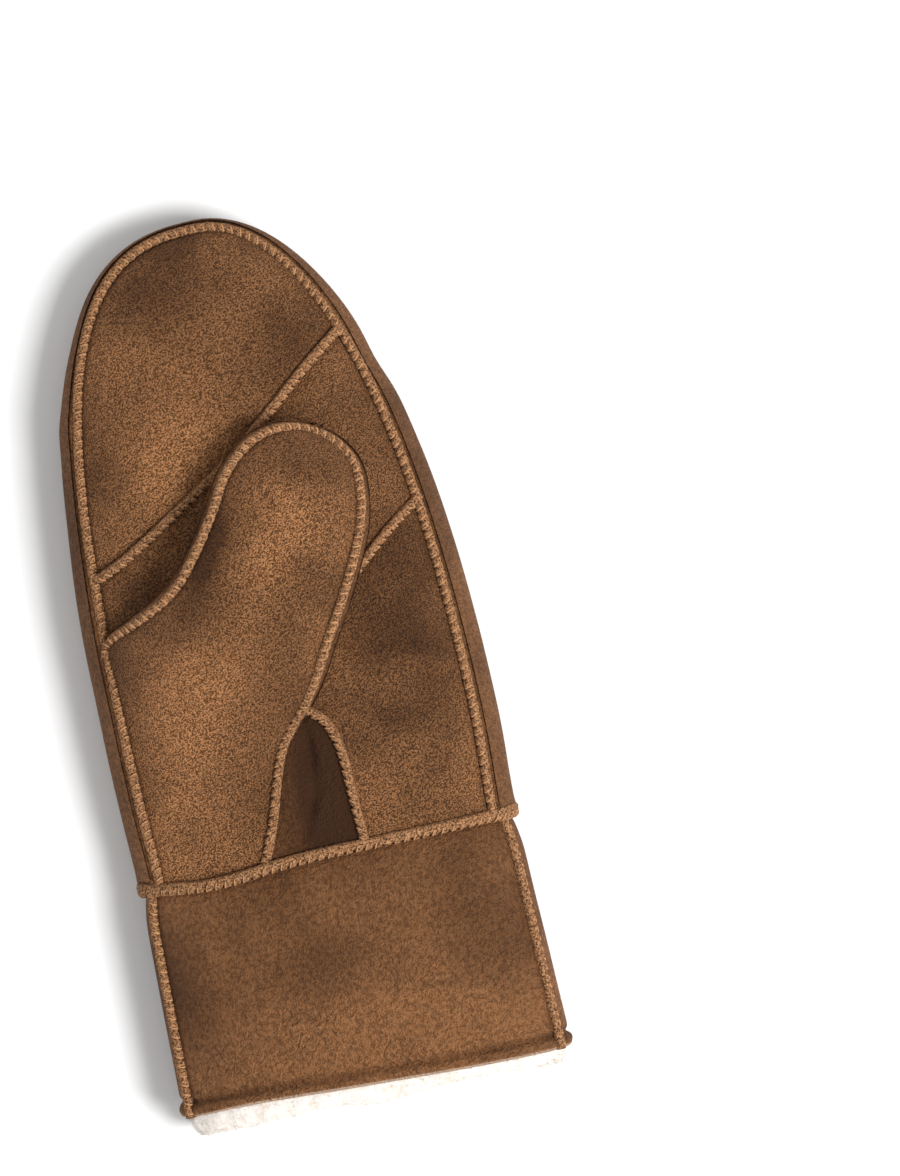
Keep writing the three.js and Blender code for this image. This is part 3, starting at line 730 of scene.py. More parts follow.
# Creases of the cuff, with y as a share of the cuff's length
CUFF_CREASES = [
    ((-0.1, -0.78), (-0.42, -0.95), 1.3 * MM, 0.8 * MM),
    ((-0.18, -0.8), (-0.5, -0.92), 1.6 * MM, -0.7 * MM),
    ((-0.6, -0.74), (-0.75, -0.85), 1.4 * MM, 0.6 * MM),
    ((-0.35, -0.86), (-0.42, -0.94), 1.2 * MM, 0.5 * MM),
    ((-0.72, -0.3), (-0.5, -0.12), 2.2 * MM, 0.5 * MM),
    ((0.2, -0.2), (0.55, -0.5), 4 * MM, 0.7 * MM),
    ((0.45, -0.15), (0.75, -0.62), 3.4 * MM, 0.6 * MM),
    ((0.1, -0.55), (0.42, -0.9), 2.4 * MM, 0.6 * MM),
]


def crease_lift(creases, reach=None):
    """The relief of creases, or the tone of strokes: across each straight line a bell, times a sine
    wave along it. reach is the length that y is a share of, the hand's where none is given."""
    def relief(points):
        s = sizes()
        scale = (s.hand_width / 2, reach or s.hand_length)
        lift = np.zeros(points.shape[:-1])
        for start, end, width, depth in creases:
            start, end = np.array(start) * scale, np.array(end) * scale
            run = end - start
            offset = points[..., :2] - start
            share = np.clip(offset @ run / (run @ run), 0, 1)
            away = np.linalg.norm(offset - share[..., None] * run, axis=-1)
            lift -= depth * bell(away, width) * np.sin(np.clip(share, 0.1, 0.9) * math.pi)
        return lift
    return relief


# The finger panel's broad fold, from its low to its high end, and the small creases across it,
# as shares of half the hand's width and of the hand's length
FINGER_FOLD = [((-0.42, 0.6), (0.26, 0.95), 17 * MM, -1.7 * MM)]
FINGER_CREASES = [
    ((-0.62, 0.812), (-0.1, 0.782), 1.6 * MM, 0.3 * MM),
    ((-0.55, 0.775), (-0.02, 0.752), 1.4 * MM, 0.26 * MM),
    ((-0.5, 0.735), (-0.15, 0.72), 1.5 * MM, 0.22 * MM),
    ((-0.7, 0.7), (-0.35, 0.685), 1.5 * MM, 0.2 * MM),
]


# The finger panel's dip beside the diagonal seam: its depth, its width, and how far from the rim
# it fades
HOLLOW_DEPTH = 0.7 * MM
HOLLOW_WIDTH = 2.8 * MM
HOLLOW_ENDS = 12 * MM


def finger_hollow(points):
    """The finger panel dips along the diagonal seam, where it is drawn under the middle panel."""
    line = smooth_line(UPPER_DIAGONAL, 60)
    height = np.interp(points[..., 0], line[:, 0], line[:, 1])
    above = np.clip(points[..., 1] - height, 0, None)
    from_rim = np.abs(np.abs(points[..., 0]) - sizes().hand_width / 2)
    return -HOLLOW_DEPTH * bell(above, HOLLOW_WIDTH) * (1 - bell(from_rim, HOLLOW_ENDS))


def make_palm_panels():
    """The finger, middle and heel panels and the smooth gusset beside the thumb."""
    seam = sizes().seam_width
    lines = palm_lines()
    upper, lower, heel_seam, set_in = (lines[name] for name in ("upper", "lower", "heel", "set_in"))
    foot = heel_seam[0, 0]
    middle_low = np.concatenate([lines["under"][:-1], lower])
    heel_low = wrist_between(foot, lines["right_of_heel"][0, 0])
    heel_high = np.concatenate([heel_seam[-1:], lower[len(lower) // 10:]])
    gusset_low = wrist_between(set_in[0, 0], foot)
    gusset_high = np.stack([set_in[-1], heel_seam[-1]])
    finger = palm_patch(upper, lines["over_tip"], point_line(upper[0]), point_line(upper[-1]))
    middle = palm_patch(even(middle_low), upper, lines["left_of_middle"], lines["right_of_middle"])
    heel = palm_patch(even(heel_low), even(heel_high), heel_seam, lines["right_of_heel"])
    gusset = palm_patch(even(gusset_low), gusset_high, set_in, heel_seam)
    leather_panel("finger_panel", finger, (90, 154), [seam] * 4, "suede", 11,
                  [finger_hollow, crease_lift(FINGER_FOLD + FINGER_CREASES)])
    leather_panel("middle_palm_panel", middle, (80, 136), [seam] * 4, "suede", 12)
    leather_panel("palm_heel_panel", heel, (112, 72), [seam] * 4, "suede", 13)
    leather_panel("heel_gusset", gusset, (120, 74), (seam, seam, seam, seam / 4), "cuff_leather", 14,
                  [crease_lift(GUSSET_CREASES)], [crease_lift(GUSSET_SHADE)])


def thumb_rim(side, along):
    """The thumb's seam at a place along it: on the rim at the root, then a little above it."""
    climb = np.clip((along - THUMB_CLIMB_START) / THUMB_CLIMB_SPAN, 0, 1) * sizes().thumb_seam_angle
    return math.pi - climb if side == "left" else climb


def thumb_seam_run(side, count):
    """Places along the thumb for one side of its seam, from its start to its end, crowded towards
    the end as a sine crowds towards its crest."""
    crest = np.sin(np.linspace(0, math.pi / 2, count))
    return lerp(THUMB_SEAM_END, THUMB_SEAM_START[side], 1 - crest)


def thumb_edges(count=400, heel_share=0.42):
    """The places (x, y) of the thumb panel's left and right edge: from the wrist up the palm's
    edge seam and the set-in line to the thumb's root, then along the thumb's own seam."""
    lines = palm_lines()
    edges = []
    for side, foot in (("left", None), ("right", lines["set_in"])):
        along = thumb_seam_run(side, count)
        rim = thumb_point(thumb_rim(side, along), along)[:, :2]
        if foot is None:
            foot = palm_seam_between((-1, 0), (-1, rim[0, 1]))
        foot = even(foot, count)
        foot = foot + (rim[0] - foot[-1]) * np.linspace(0, 1, count)[:, None] ** 6
        share = np.concatenate([
            np.linspace(0, heel_share, count), np.linspace(heel_share, 1, count + 1)[1:]
        ])
        path = np.concatenate([foot, np.vstack([rim[1:], rim[-1:]])])
        edges.append((share, path))
    return edges


def thumb_top(x, y, blend=5 * MM):
    """Height of the thumb panel: the higher of the palm and the thumb, run into each other."""
    palm = surface_height(x, y)
    bulge = thumb_bulge(x, y)
    return smooth_max(palm, palm + bulge, blend) - blend / 4


def make_thumb():
    """The suede panel over the heel and the thumb, and the smooth one under the thumb."""
    seam = sizes().seam_width
    edges = thumb_edges()

    def top_patch(u, v):
        """Across from the left edge to the right one in steps that are closer at the edges, and
        dipping to the wrist seam's bow at the foot."""
        near, far = (read_at(v, share, edge) for share, edge in edges)
        across = 0.5 - 0.5 * np.cos(u * math.pi)
        place = lerp(near, far, (0.35 * u + 0.65 * across)[..., None])
        x, y = place[..., 0], place[..., 1]
        y = y + wrist_at(x) * np.clip(1 - 5 * v, 0, 1)
        return np.stack([x, y, thumb_top(x, y)], -1)

    def under_patch(u, v):
        """Round the thumb from the left seam under it to the right one, kept over the palm."""
        along = lerp(0.02, THUMB_SEAM_END, np.sin(v * math.pi / 2))
        start, end = thumb_rim("left", along), TAU + thumb_rim("right", along)
        points = thumb_point(lerp(start, end, u), along)
        palm = surface_height(points[..., 0], points[..., 1])
        points[..., 2] = np.maximum(points[..., 2], palm + seam / 5)
        return points

    leather_panel("thumb_outer_panel", top_patch, (168, 74), (seam, seam, seam, seam / 2), "suede",
                  15)
    leather_panel("thumb_inner_panel", under_patch, (76, 60), (seam, seam, 0, seam / 2),
                  "cuff_leather", 16)


# Bumps in the side wall's outline: side, share of the hand's length, rise and reach
WALL_BUMPS = [
    (1, 0.735, 1.1 * MM, 9 * MM),
    (-1, 0.725, -0.5 * MM, 6 * MM),
    (-1, 0.86, 0.6 * MM, 12 * MM),
    (-1, 0.4, -0.5 * MM, 20 * MM),
]


def wall_relief(points):
    """Bumps and dents of the side wall: a bell along the hand for each."""
    lift = np.zeros(points.shape[:-1])
    for side, share, rise, reach in WALL_BUMPS:
        on_side = np.sign(points[..., 0]) == side
        lift += on_side * rise * bell(points[..., 1] - share * sizes().hand_length, reach)
    return lift


def wall_patch(u, v):
    """The side wall: from the back's seam out to the rim, up and in to the palm's seam. The
    line's inset follows a quarter wave on each side of the rim."""
    s = sizes()
    turn = np.interp(u, np.linspace(0, 1, 2001), rim_turns(2001))
    palm = v > 0.5
    wave = 1 - np.sin((1 - v) * math.pi)
    inset = wave * np.where(palm, s.palm_seam_inset, s.back_seam_inset)
    tip_inset = wave * np.where(palm, s.palm_seam_tip_inset, s.back_seam_inset)
    tip_power = np.where(palm, lerp(THUMB_SIDE_TIP[0], PALM_SEAM_TIP[0], wave), THUMB_SIDE_TIP[0])
    x, y = rim_line(turn, inset, tip_inset, (tip_power, THUMB_SIDE_TIP[1]))
    return np.stack([x, y, np.where(palm, surface_height(x, y), surface_height(x, y, False))], -1)


def back_patch(u, v):
    """The back panel: across between the two sides of its seam, up in steps that keep even
    distances on the rim."""
    left, right = back_seam_at(v - 1), back_seam_at(1 - v)
    x = lerp(right[..., 0], left[..., 0], u)
    return on_skin(x, left[..., 1], palm=False)


def make_hand_walls():
    """The wall round the hand's rim and the panel of its back."""
    seam, wrist = sizes().seam_width, sizes().wrist_seam_width
    leather_panel("side_wall", wall_patch, (30, 340), (wrist, wrist, seam, seam), "cuff_leather", 17,
                  [wall_relief], softness=0.3)
    leather_panel("back_panel", back_patch, (114, 88), (seam, seam, wrist, seam), "suede", 18)


# The mouth's dip at the thumb side, and its hem: how far the crease lies from the edge, its depth,
# width and wander, the roll's rise and width, and the width of the pale cut edge
MOUTH_DIP = 2.2 * MM
MOUTH_DIP_REACH = 17 * MM
HEM_WIDTH = 4.4 * MM
HEM_CREASE_DEPTH = 1.1 * MM
HEM_CREASE_WIDTH = 0.9 * MM
HEM_WANDER = 0.8 * MM
HEM_WANDER_LENGTH = 30 * MM
HEM_ROLL_RISE = 0.8 * MM
HEM_ROLL_WIDTH = 1.6 * MM
CUT_EDGE_WIDTH = 1.1 * MM


def mouth_at(x):
    """The mouth's y before its slant: a straight line that dips at the thumb side."""
    s = sizes()
    return -s.cuff_length - MOUTH_DIP * bell(x + s.mouth_width / 2, MOUTH_DIP_REACH)


def from_mouth(points):
    """Distance along the cuff from the mouth."""
    s = sizes()
    x = points[..., 0]
    return points[..., 1] - mouth_at(x) + 2 * s.mouth_slant * x / s.hand_width


def hem_relief(points):
    """A crease that runs beside the mouth, and the soft roll between it and the edge."""
    wander = HEM_WANDER * smooth_noise(points * (1, 0, 0), HEM_WANDER_LENGTH, 31)
    crease = bell(from_mouth(points) - HEM_WIDTH - wander, HEM_CREASE_WIDTH)
    roll = bell(from_mouth(points) - HEM_WIDTH / 2, HEM_ROLL_WIDTH)
    return HEM_ROLL_RISE * roll - HEM_CREASE_DEPTH * crease


def cut_edge_and_crease_shade(points):
    """Pale at the cut edge of the mouth, above 1 there, and darker in the crease as painted shade."""
    crease = bell(from_mouth(points) - HEM_WIDTH, 1.3 * MM)
    return 2 * np.clip(1.3 - from_mouth(points) / CUT_EDGE_WIDTH, 0, 1) - 0.4 * crease


def make_cuff():
    """The cuff's palm and back panels, from the wrist seam to the mouth."""
    s = sizes()

    def patch(start, end, palm):
        """A patch between two angles round the cuff, from the mouth up to the wrist seam."""
        def points(u, v):
            angle = lerp(start, end, u)
            x = body_point(angle, 0 * v)[..., 0]
            top = wrist_at(x) if palm else 0
            return body_point(angle, lerp(mouth_at(x), top, v))
        return points

    left, right = math.pi - s.cuff_seam_angle, s.cuff_seam_angle
    creases = crease_lift(CUFF_CREASES, s.cuff_length)
    for name, grid, size, seed, reliefs in (
        ("cuff_palm_panel", patch(left, right, True), (110, 140), 19, [hem_relief, creases]),
        ("cuff_back_panel", patch(right, left - TAU, False), (80, 130), 20, [hem_relief]),
    ):
        leather_panel(name, grid, size, (s.seam_width, s.seam_width, 0, s.wrist_seam_width),
                      "cuff_leather", seed, reliefs, [cut_edge_and_crease_shade], sewn=(1, 1, 0, 1))


# Overcast seams

SEAM_MATERIALS = ("Raw Edge", "Thread", "Seam Fibre")
RIDGE_STEP = 0.42 * MM
RIDGE_SIDES = 16
THREAD_STEPS = 7
THREAD_SIDES = 4
THREAD_RADIUS = 0.27 * MM
# How wide a stitch's pinch is in stitches, and how much it takes of the ridge's width and height
PINCH_SPAN = 0.16
PINCH_IN = 0.5
PINCH_DOWN = 0.7
# How far a stitch runs on over the ridge and where it starts, in stitches, and the thread's arc
# in half turns from one foot, and how far it lies out and up in the ridge's width and height
STITCH_SLANT = 0.3
STITCH_SHIFT = -0.27
THREAD_ARC = (0.62, 0.02)
THREAD_OUT = 0.47
THREAD_UP = 0.84
# How deep the groove between the raw edges is as a share of the rise, how rough the edges are and
# the length of their two sizes of lumps
GROOVE_DEPTH = 0.2
EDGE_ROUGHNESS = 0.11 * MM
EDGE_LUMPS = 1.6 * MM
EDGE_CRUMBS = 0.8 * MM
# How much the wrist seam swells at both rims, and how far that reaches
KNOB_SHARE = 0.35
KNOB_REACH = 5 * MM
HAIR_SIDES = 3
HAIRS_TO_A_METRE = 13000
SEAM_HAIR_REACH = (0.25 * MM, 0.85 * MM)
SEAM_HAIR_RADIUS = 0.06 * MM
# How far the thumb's seam stays over the palm
THUMB_SEAM_CLEARANCE = 0.3 * MM


def rim_path(seam_at, palm, turns=2400):
    """A seam round the rim, from the thumb-side wrist over the tip to the other side."""
    place = seam_at(rim_turns(turns))
    x, y = place[:, 0], place[:, 1]
    return on_skin(x, y, palm), skin_normal(x, np.minimum(y, sizes().hand_length - 1 * MM), palm)


def palm_path(rows):
    """A seam along a line of the palm."""
    line = smooth_line(rows)
    return on_skin(line[:, 0], line[:, 1]), skin_normal(line[:, 0], line[:, 1])


def wrist_path(count=900):
    """The wrist seam, once round the waist."""
    angle = np.linspace(0, TAU, count, endpoint=False)
    x = body_point(angle, np.zeros(count))[:, 0]
    y = np.where(np.sin(angle) > 0, wrist_at(x), 0)
    return surface_path(body_point, angle, y, 0.01, 0.5 * MM)


def cuff_path(angle, count=200):
    """A seam down the cuff at one angle round it."""
    x = body_point(angle, -sizes().cuff_length)[0]
    y = np.linspace(0, mouth_at(x), count)
    return surface_path(body_point, np.full(count, angle), y, 0.02, 0.5 * MM)


def surface_path(surface, angle, along, angle_step, along_step):
    """Points of a surface and its outward directions, by differences both ways."""
    round_it = surface(angle + angle_step, along) - surface(angle - angle_step, along)
    forward = surface(angle, along + along_step) - surface(angle, along - along_step)
    return surface(angle, along), unit(np.cross(forward, round_it))


def thumb_path(count=500):
    """Up the thumb's left side, over its tip, down its right side and along the set-in line."""
    points, normals = [], []
    for side in ("left", "right"):
        along = thumb_seam_run(side, count)
        stop, normal = surface_path(thumb_point, thumb_rim(side, along), along, 0.02, 0.01)
        palm = surface_height(stop[:, 0], stop[:, 1])
        stop[:, 2] = np.maximum(stop[:, 2], palm + THUMB_SEAM_CLEARANCE)
        points.append(stop if side == "left" else stop[::-1])
        normals.append(normal if side == "left" else normal[::-1])
    set_in, set_in_normal = palm_path(THUMB_SET_IN[::-1])
    set_in[:, 2] = thumb_top(set_in[:, 0], set_in[:, 1])
    points.append(set_in)
    normals.append(set_in_normal)
    return np.concatenate(points), np.concatenate(normals)


def settle(path, normals, closed):
    """The path at even steps, its outward directions averaged over a few millimetres."""
    if closed:
        path, normals = np.vstack([path, path[:1]]), np.vstack([normals, normals[:1]])
    run = run_of(path)
    count = max(8, round(run[-1] / RIDGE_STEP))
    places = np.linspace(0, run[-1], count, endpoint=not closed)
    path, normals = read_at(places, run, path), read_at(places, run, normals)
    return averaged(path, 4, closed), unit(averaged(normals, 8, closed)), places


def averaged(rows, reach, closed):
    """Each row averaged with its neighbours under a raised cosine."""
    window = np.hanning(2 * reach + 3)[1:-1]
    window = window / window.sum()
    mode = {"mode": "wrap"} if closed else {"mode": "reflect", "reflect_type": "odd"}
    padded = np.pad(rows, ((reach, reach), (0, 0)), **mode)
    return np.stack([np.convolve(column, window, mode="valid") for column in padded.T], -1)


def stitch_pinch(run, pitch, shift=0.0):
    """1 where an overcast stitch pulls tight, falling to 0 between stitches."""
    return bell((run / pitch + shift) % 1 - 0.5, PINCH_SPAN)


def ridge_part(path, side, out, run, width, rise, pitch, fuzzy, closed):
    """The two raw edges that stand in a seam: an oval section, drawn in by the stitches on its
    stitched side, each on a slant, with a groove between its edges, and rough all over."""
    angle = np.linspace(0, TAU, RIDGE_SIDES, endpoint=False)[None, :]
    across, up = np.cos(angle), np.sin(angle)
    stitched = 0.5 - 0.5 * fuzzy * across
    shift = STITCH_SLANT * across * fuzzy + STITCH_SHIFT
    pinch = stitch_pinch(run[:, None], pitch, shift) * stitched**2.2
    width, rise = np.reshape(width, (-1, 1)), np.reshape(rise, (-1, 1))
    half = width / 2 * (1 - PINCH_IN * pinch)
    top = rise * (1 - PINCH_DOWN * pinch) * np.abs(up) ** 0.75
    groove = GROOVE_DEPTH * rise * bell(across + 0.15 * fuzzy, 0.2)
    height = np.where(up > 0, top - groove * up, -0.75 * sizes().leather * np.abs(up) ** 0.5)
    points = path[:, None] + side[:, None] * (half * across)[..., None]
    points = points + out[:, None] * height[..., None]
    rough = smooth_noise(points, EDGE_LUMPS, 41) + 0.8 * smooth_noise(points, EDGE_CRUMBS, 42)
    away = unit(points - path[:, None])
    points = points + away * (rough * EDGE_ROUGHNESS * (1.2 - 0.7 * stitched))[..., None]
    faces = grid_faces(len(path), RIDGE_SIDES, close_rows=closed, close_columns=True)[:, ::-1]
    if closed:
        return [(points, faces, 0)]
    return [(points, faces, 0)] + [cap_part(points[0], False), cap_part(points[-1], True)]


def cap_part(ring, at_end):
    """A fan that closes a tube at one end. Its rim is merged with the tube's."""
    count = len(ring)
    index = np.arange(count)
    faces = np.stack([np.full(count, count), index, np.roll(index, -1)], -1)
    return np.vstack([ring, ring.mean(axis=0)]), faces if at_end else faces[:, ::-1], 0


def thread_part(path, side, out, travel, run, width, rise, pitch, fuzzy):
    """Overcast stitches: one thread in each pinch, from the stitched side's foot over the crown
    on a slant, as a tube of four sides along part of a half oval."""
    starts = np.arange(0.5 * pitch, run[-1] - 0.5 * pitch, pitch)
    where = np.searchsorted(run, starts)
    arc = (0.5 + fuzzy * np.linspace(*THREAD_ARC, THREAD_STEPS)) * math.pi
    across, up = np.cos(arc)[None, :, None], np.sin(arc)[None, :, None]
    wide, high = np.reshape(width, (-1, 1, 1)), np.reshape(rise, (-1, 1, 1))
    if len(wide) > 1:
        wide, high = wide[where], high[where]
    slant = -STITCH_SLANT * fuzzy * across * pitch
    middle = path[where, None] + side[where, None] * across * wide * THREAD_OUT
    middle = middle + out[where, None] * up * high * THREAD_UP + travel[where, None] * slant
    outward = side[where, None] * across + out[where, None] * up
    turn = ((np.arange(THREAD_SIDES) + 0.5) * TAU / THREAD_SIDES)[:, None]
    ring = outward[:, :, None] * np.cos(turn) + travel[where, None, None] * np.sin(turn)
    points = middle[:, :, None] + ring * THREAD_RADIUS
    ends = np.array([[0, 1, 2, 3], [3, 2, 1, 0]]) + [[0], [THREAD_SIDES * (THREAD_STEPS - 1)]]
    one = np.concatenate([grid_faces(THREAD_STEPS, THREAD_SIDES, close_columns=True)[:, ::-1], ends])
    one = one if fuzzy < 0 else one[:, ::-1]
    shift = THREAD_SIDES * THREAD_STEPS * np.arange(len(starts))
    return points, (one[None] + shift[:, None, None]).reshape(-1, 4), 1


def hair_part(roots, directions, bends, radius, number):
    """Hairs of three sides in two pieces: each leaves its root along one direction and its upper
    half turns along another, tapering to a point."""
    count = len(roots)
    turn = np.linspace(0, TAU, HAIR_SIDES, endpoint=False)[:, None]
    flat = np.abs(directions[:, 2:]) < 0.8 * np.linalg.norm(directions, axis=1, keepdims=True)
    first = unit(np.cross(directions, np.where(flat, [[0.0, 0.0, 1.0]], [[1.0, 0.0, 0.0]])))
    second = unit(np.cross(directions, first))
    ring = first[:, None] * np.cos(turn) + second[:, None] * np.sin(turn)
    low = roots[:, None] + ring * radius
    knee = (roots + directions)[:, None] + ring * radius * 0.75
    tip = (roots + directions + bends)[:, None]
    points = np.concatenate([low, knee, tip], axis=1)
    sides = [[0, 1, 4], [0, 4, 3], [1, 2, 5], [1, 5, 4], [2, 0, 3], [2, 3, 5]]
    one = np.array(sides + [[3, 4, 6], [4, 5, 6], [5, 3, 6], [0, 2, 1]])
    faces = (one[None] + (np.arange(count) * 7)[:, None, None]).reshape(-1, 3)
    return points, faces, number


def ridge_hairs(path, side, out, travel, run, width, rise, fuzzy, seed, density=1.0):
    """Short fibres that stand out of a seam's fuzzy side and its top."""
    rng = np.random.default_rng(seed)
    count = int(run[-1] * HAIRS_TO_A_METRE * density)
    where = rng.integers(0, len(path), count)
    angle = rng.normal(0.32, 0.34, count) * math.pi
    across = np.cos(angle)[:, None] * fuzzy
    up = np.abs(np.sin(angle))[:, None]
    roots = path[where] + side[where] * across * width * 0.42 + out[where] * up * rise * 0.8
    roots = roots + travel[where] * rng.uniform(-0.5, 0.5, (count, 1)) * RIDGE_STEP
    reach = rng.uniform(*SEAM_HAIR_REACH, (count, 1))
    lean = travel[where] * rng.normal(0, 0.6, (count, 1))
    outward = side[where] * across + out[where] * (up * 0.8)
    directions = unit(outward + lean) * reach * 0.55
    bends = unit(outward + lean * 2.2 + rng.normal(0, 0.45, (count, 3))) * reach * 0.6
    return hair_part(roots, directions, bends, SEAM_HAIR_RADIUS, 2)


def seam_piece(name, line, seed, fuzzy, density, closed=False):
    """One seam along a line of places and outward directions: its ridge, its stitches and its
    fibres. The closed one, round the wrist, is wider and swells to a knob at both rims."""
    s = sizes()
    path, normals, run = settle(*line, closed)
    travel, side, out = frames_along(path, normals, closed)
    width, rise = s.seam_width, s.seam_rise
    if closed:
        from_rim = np.abs(path[:, 0]) - (s.hand_width - s.waist_depth) / 2
        knob = 1 + KNOB_SHARE * bell(from_rim, KNOB_REACH)
        width, rise = s.wrist_seam_width * knob, s.wrist_seam_rise * knob
    parts = ridge_part(path, side, out, run, width, rise, s.stitch_pitch, fuzzy, closed)
    parts.append(thread_part(path, side, out, travel, run, width, rise, s.stitch_pitch, fuzzy))
    parts.append(ridge_hairs(path, side, out, travel, run, np.mean(width), np.mean(rise), fuzzy,
                             seed, density))
    put_mesh(f"{name}_stitching", parts, SEAM_MATERIALS, name)


def make_seams():
    """The nine overcast seams: name, line, seed, the side that is fuzzy and how thickly."""
    angle = sizes().cuff_seam_angle
    seam_piece("wrist_seam", wrist_path(), 51, 1, 1, closed=True)
    for row in (
        ("palm_edge_seam", rim_path(palm_seam_at, True), 52, -1, 1),
        ("back_edge_seam", rim_path(back_seam_at, False), 53, 1, 0.5),
        ("cuff_thumb_side_seam", cuff_path(math.pi - angle), 54, 1, 0.5),
        ("cuff_little_side_seam", cuff_path(angle), 55, 1, 0.5),
        ("thumb_seam", thumb_path(), 56, -1, 1),
        ("heel_seam", palm_path(HEEL_SEAM), 57, 1, 1),
        ("upper_diagonal_seam", palm_path(UPPER_DIAGONAL), 58, -1, 1),
        ("lower_diagonal_seam", palm_path(LOWER_DIAGONAL), 59, -1, 1),
    ):
        seam_piece(*row)


# Fleece

# Steps round the lining, how deep its wool is lumpy, how far it stays from the leather and how
# much more inside, the wool's clumps and curls as rise and length, and its tufts
FLEECE_AROUND = 300
FLEECE_DEEP = 60 * MM
LINING_CLEARANCE = 0.3 * MM
LINING_SINK = 1.6 * MM
LINING_SINK_REACH = 14 * MM
CLUMPS = (0.42 * MM, 9 * MM)
CURLS = (0.2 * MM, 3.4 * MM)
TUFT_COUNT = 9500
TUFT_REACH = (0.5 * MM, 1.7 * MM)
TUFT_RADIUS = 0.08 * MM
# How much further the wool stands out of the mouth: everywhere, more at the thumb side, and at
# random over a length, and how far inside the mouth's dip is followed
FULLER = 0.16
FULLER_AT_THUMB = 0.42
FULLER_AT_RANDOM = 0.25
FULLER_LENGTH = 26 * MM
DIP_DEPTH = 12 * MM


def fleece_path():
    """The section of the lining along the mitten, as insets and y: out from the tip under the
    leather, round the mouth in a half circle and back inside to the tip."""
    s = sizes()
    near = s.leather + LINING_CLEARANCE
    far = near + s.fleece
    # Rows every 3 mm past the wrist, whose pull the lining follows, and fewer beyond
    wrist = np.arange(45, -28, -3) * MM
    fingers = lerp(wrist[0], s.hand_length - near - 3 * MM, np.linspace(1, 0, 12)[:-1] ** 0.6)
    outside = np.concatenate([fingers, wrist, np.linspace(wrist[-1], -s.cuff_length, 8)[1:]])
    sunk = near + LINING_SINK * (1 - bell(outside + s.cuff_length, LINING_SINK_REACH))
    turn = np.linspace(0, math.pi, 13)[1:-1]
    round_inset = (near + far) / 2 - np.cos(turn) * s.fleece / 2
    round_y = -s.cuff_length - np.sin(turn) * s.fleece_proud
    inside = np.linspace(-s.cuff_length, -s.cuff_length + FLEECE_DEEP, 60)
    beyond = lerp(inside[-1], s.hand_length - far - 0.2 * MM, np.linspace(0, 1, 12)[1:] ** 0.7)
    inset = [sunk, round_inset, np.full(len(inside) + len(beyond), far)]
    return np.concatenate(inset), np.concatenate([outside, round_y, inside, beyond])


def wool_lift(points):
    """Curled wool: rounded clumps of two sizes, a half less the size of a smooth noise."""
    return sum(
        rise * (0.5 - 1.3 * np.abs(smooth_noise(points, wavelength, seed, 16)))
        for (rise, wavelength), seed in ((CLUMPS, 61), (CURLS, 62))
    )


def make_fleece():
    """The wool lining, lumpy where it shows, with curled tufts round the mouth."""
    s = sizes()
    inset, y = fleece_path()
    angle = np.linspace(0, TAU, FLEECE_AROUND, endpoint=False)
    around, rows = np.meshgrid(angle, np.arange(len(y)))
    points = body_point(around, y[rows], inset[rows])
    mouth_row = np.argmin(y)
    across = 2 * points[..., 0] / s.hand_width
    inward = points[..., 1] + s.cuff_length
    random = FULLER_AT_RANDOM * smooth_noise(points * (1, 0, 1), FULLER_LENGTH, 63)
    fuller = FULLER - FULLER_AT_THUMB * across + random
    dip = (mouth_at(points[..., 0]) + s.cuff_length) * bell(np.clip(inward, 0, None), DIP_DEPTH)
    points[..., 1] += dip - np.clip(-inward, 0, None) * fuller
    ring = np.concatenate([points, points[:, :1]], axis=1)
    normals = -grid_normals(ring)[:, :-1]
    inward = points[..., 1] + s.cuff_length
    shows = np.clip(1 - inward / MM, 0, 1)
    inner = np.clip((rows - mouth_row) / 3, 0, 1) * bell(np.clip(inward, 0, None), FLEECE_DEEP)
    points = points + normals * (wool_lift(points) * np.maximum(shows, inner))[..., None]
    faces = grid_faces(len(y), FLEECE_AROUND, close_columns=True)
    parts = [(points, faces, 0), cap_part(points[0], True), cap_part(points[-1], False)]
    parts.append(tufts(points, normals, mouth_row, 64, TUFT_COUNT))
    put_mesh("wool_lining", parts, ("Fleece", "Fleece Fibre"), "fleece_lining")


def tufts(points, normals, mouth_row, seed, count):
    """Curled hairs round the mouth and inside it, leaning out of the cuff."""
    rng = np.random.default_rng(seed)
    row = np.clip(rng.normal(mouth_row + 2, 7, count).astype(int), mouth_row - 6, len(points) - 14)
    column = rng.integers(0, points.shape[1], count)
    outward = normals[row, column]
    roots = points[row, column] - outward * 0.2 * MM
    roots = roots + rng.normal(0, 0.3, (count, 3)) * MM
    reach = rng.uniform(*TUFT_REACH, (count, 1))
    directions = unit(outward + rng.normal(0, 0.5, (count, 3))) * reach * 0.5
    bends = unit(outward + rng.normal(0, 1.0, (count, 3))) * reach * 0.6
    return hair_part(roots, directions, bends, TUFT_RADIUS, 1)


# Materials

# Places of the Mix node's colour sockets
MIX_FROM, MIX_TO, MIX_RESULT = 6, 7, 2

# Bumps to a metre in each pattern
NAP_GRIT = 3000
LEATHER_GRAIN = 1900
LEATHER_MOTTLE = 700
LEATHER_PATCHES = 30
WRINKLED_PATCHES = 38
LONG_WRINKLES = 130
SHORT_WRINKLES = 230
WOOL_CLUMPS = 260
WOOL_CURLS = 1500

# How deep each relief is
SUEDE_RELIEF = 4.5 * MM
LEATHER_RELIEF = 3.4 * MM
WOOL_RELIEF = 0.5 * MM


def feed(tree, socket, value):
    """Links a socket to another, or gives it a value or a colour's red, green and blue."""
    if isinstance(value, bpy.types.NodeSocket):
        tree.links.new(value, socket)
    else:
        socket.default_value = (*value, 1) if socket.type == "RGBA" else value


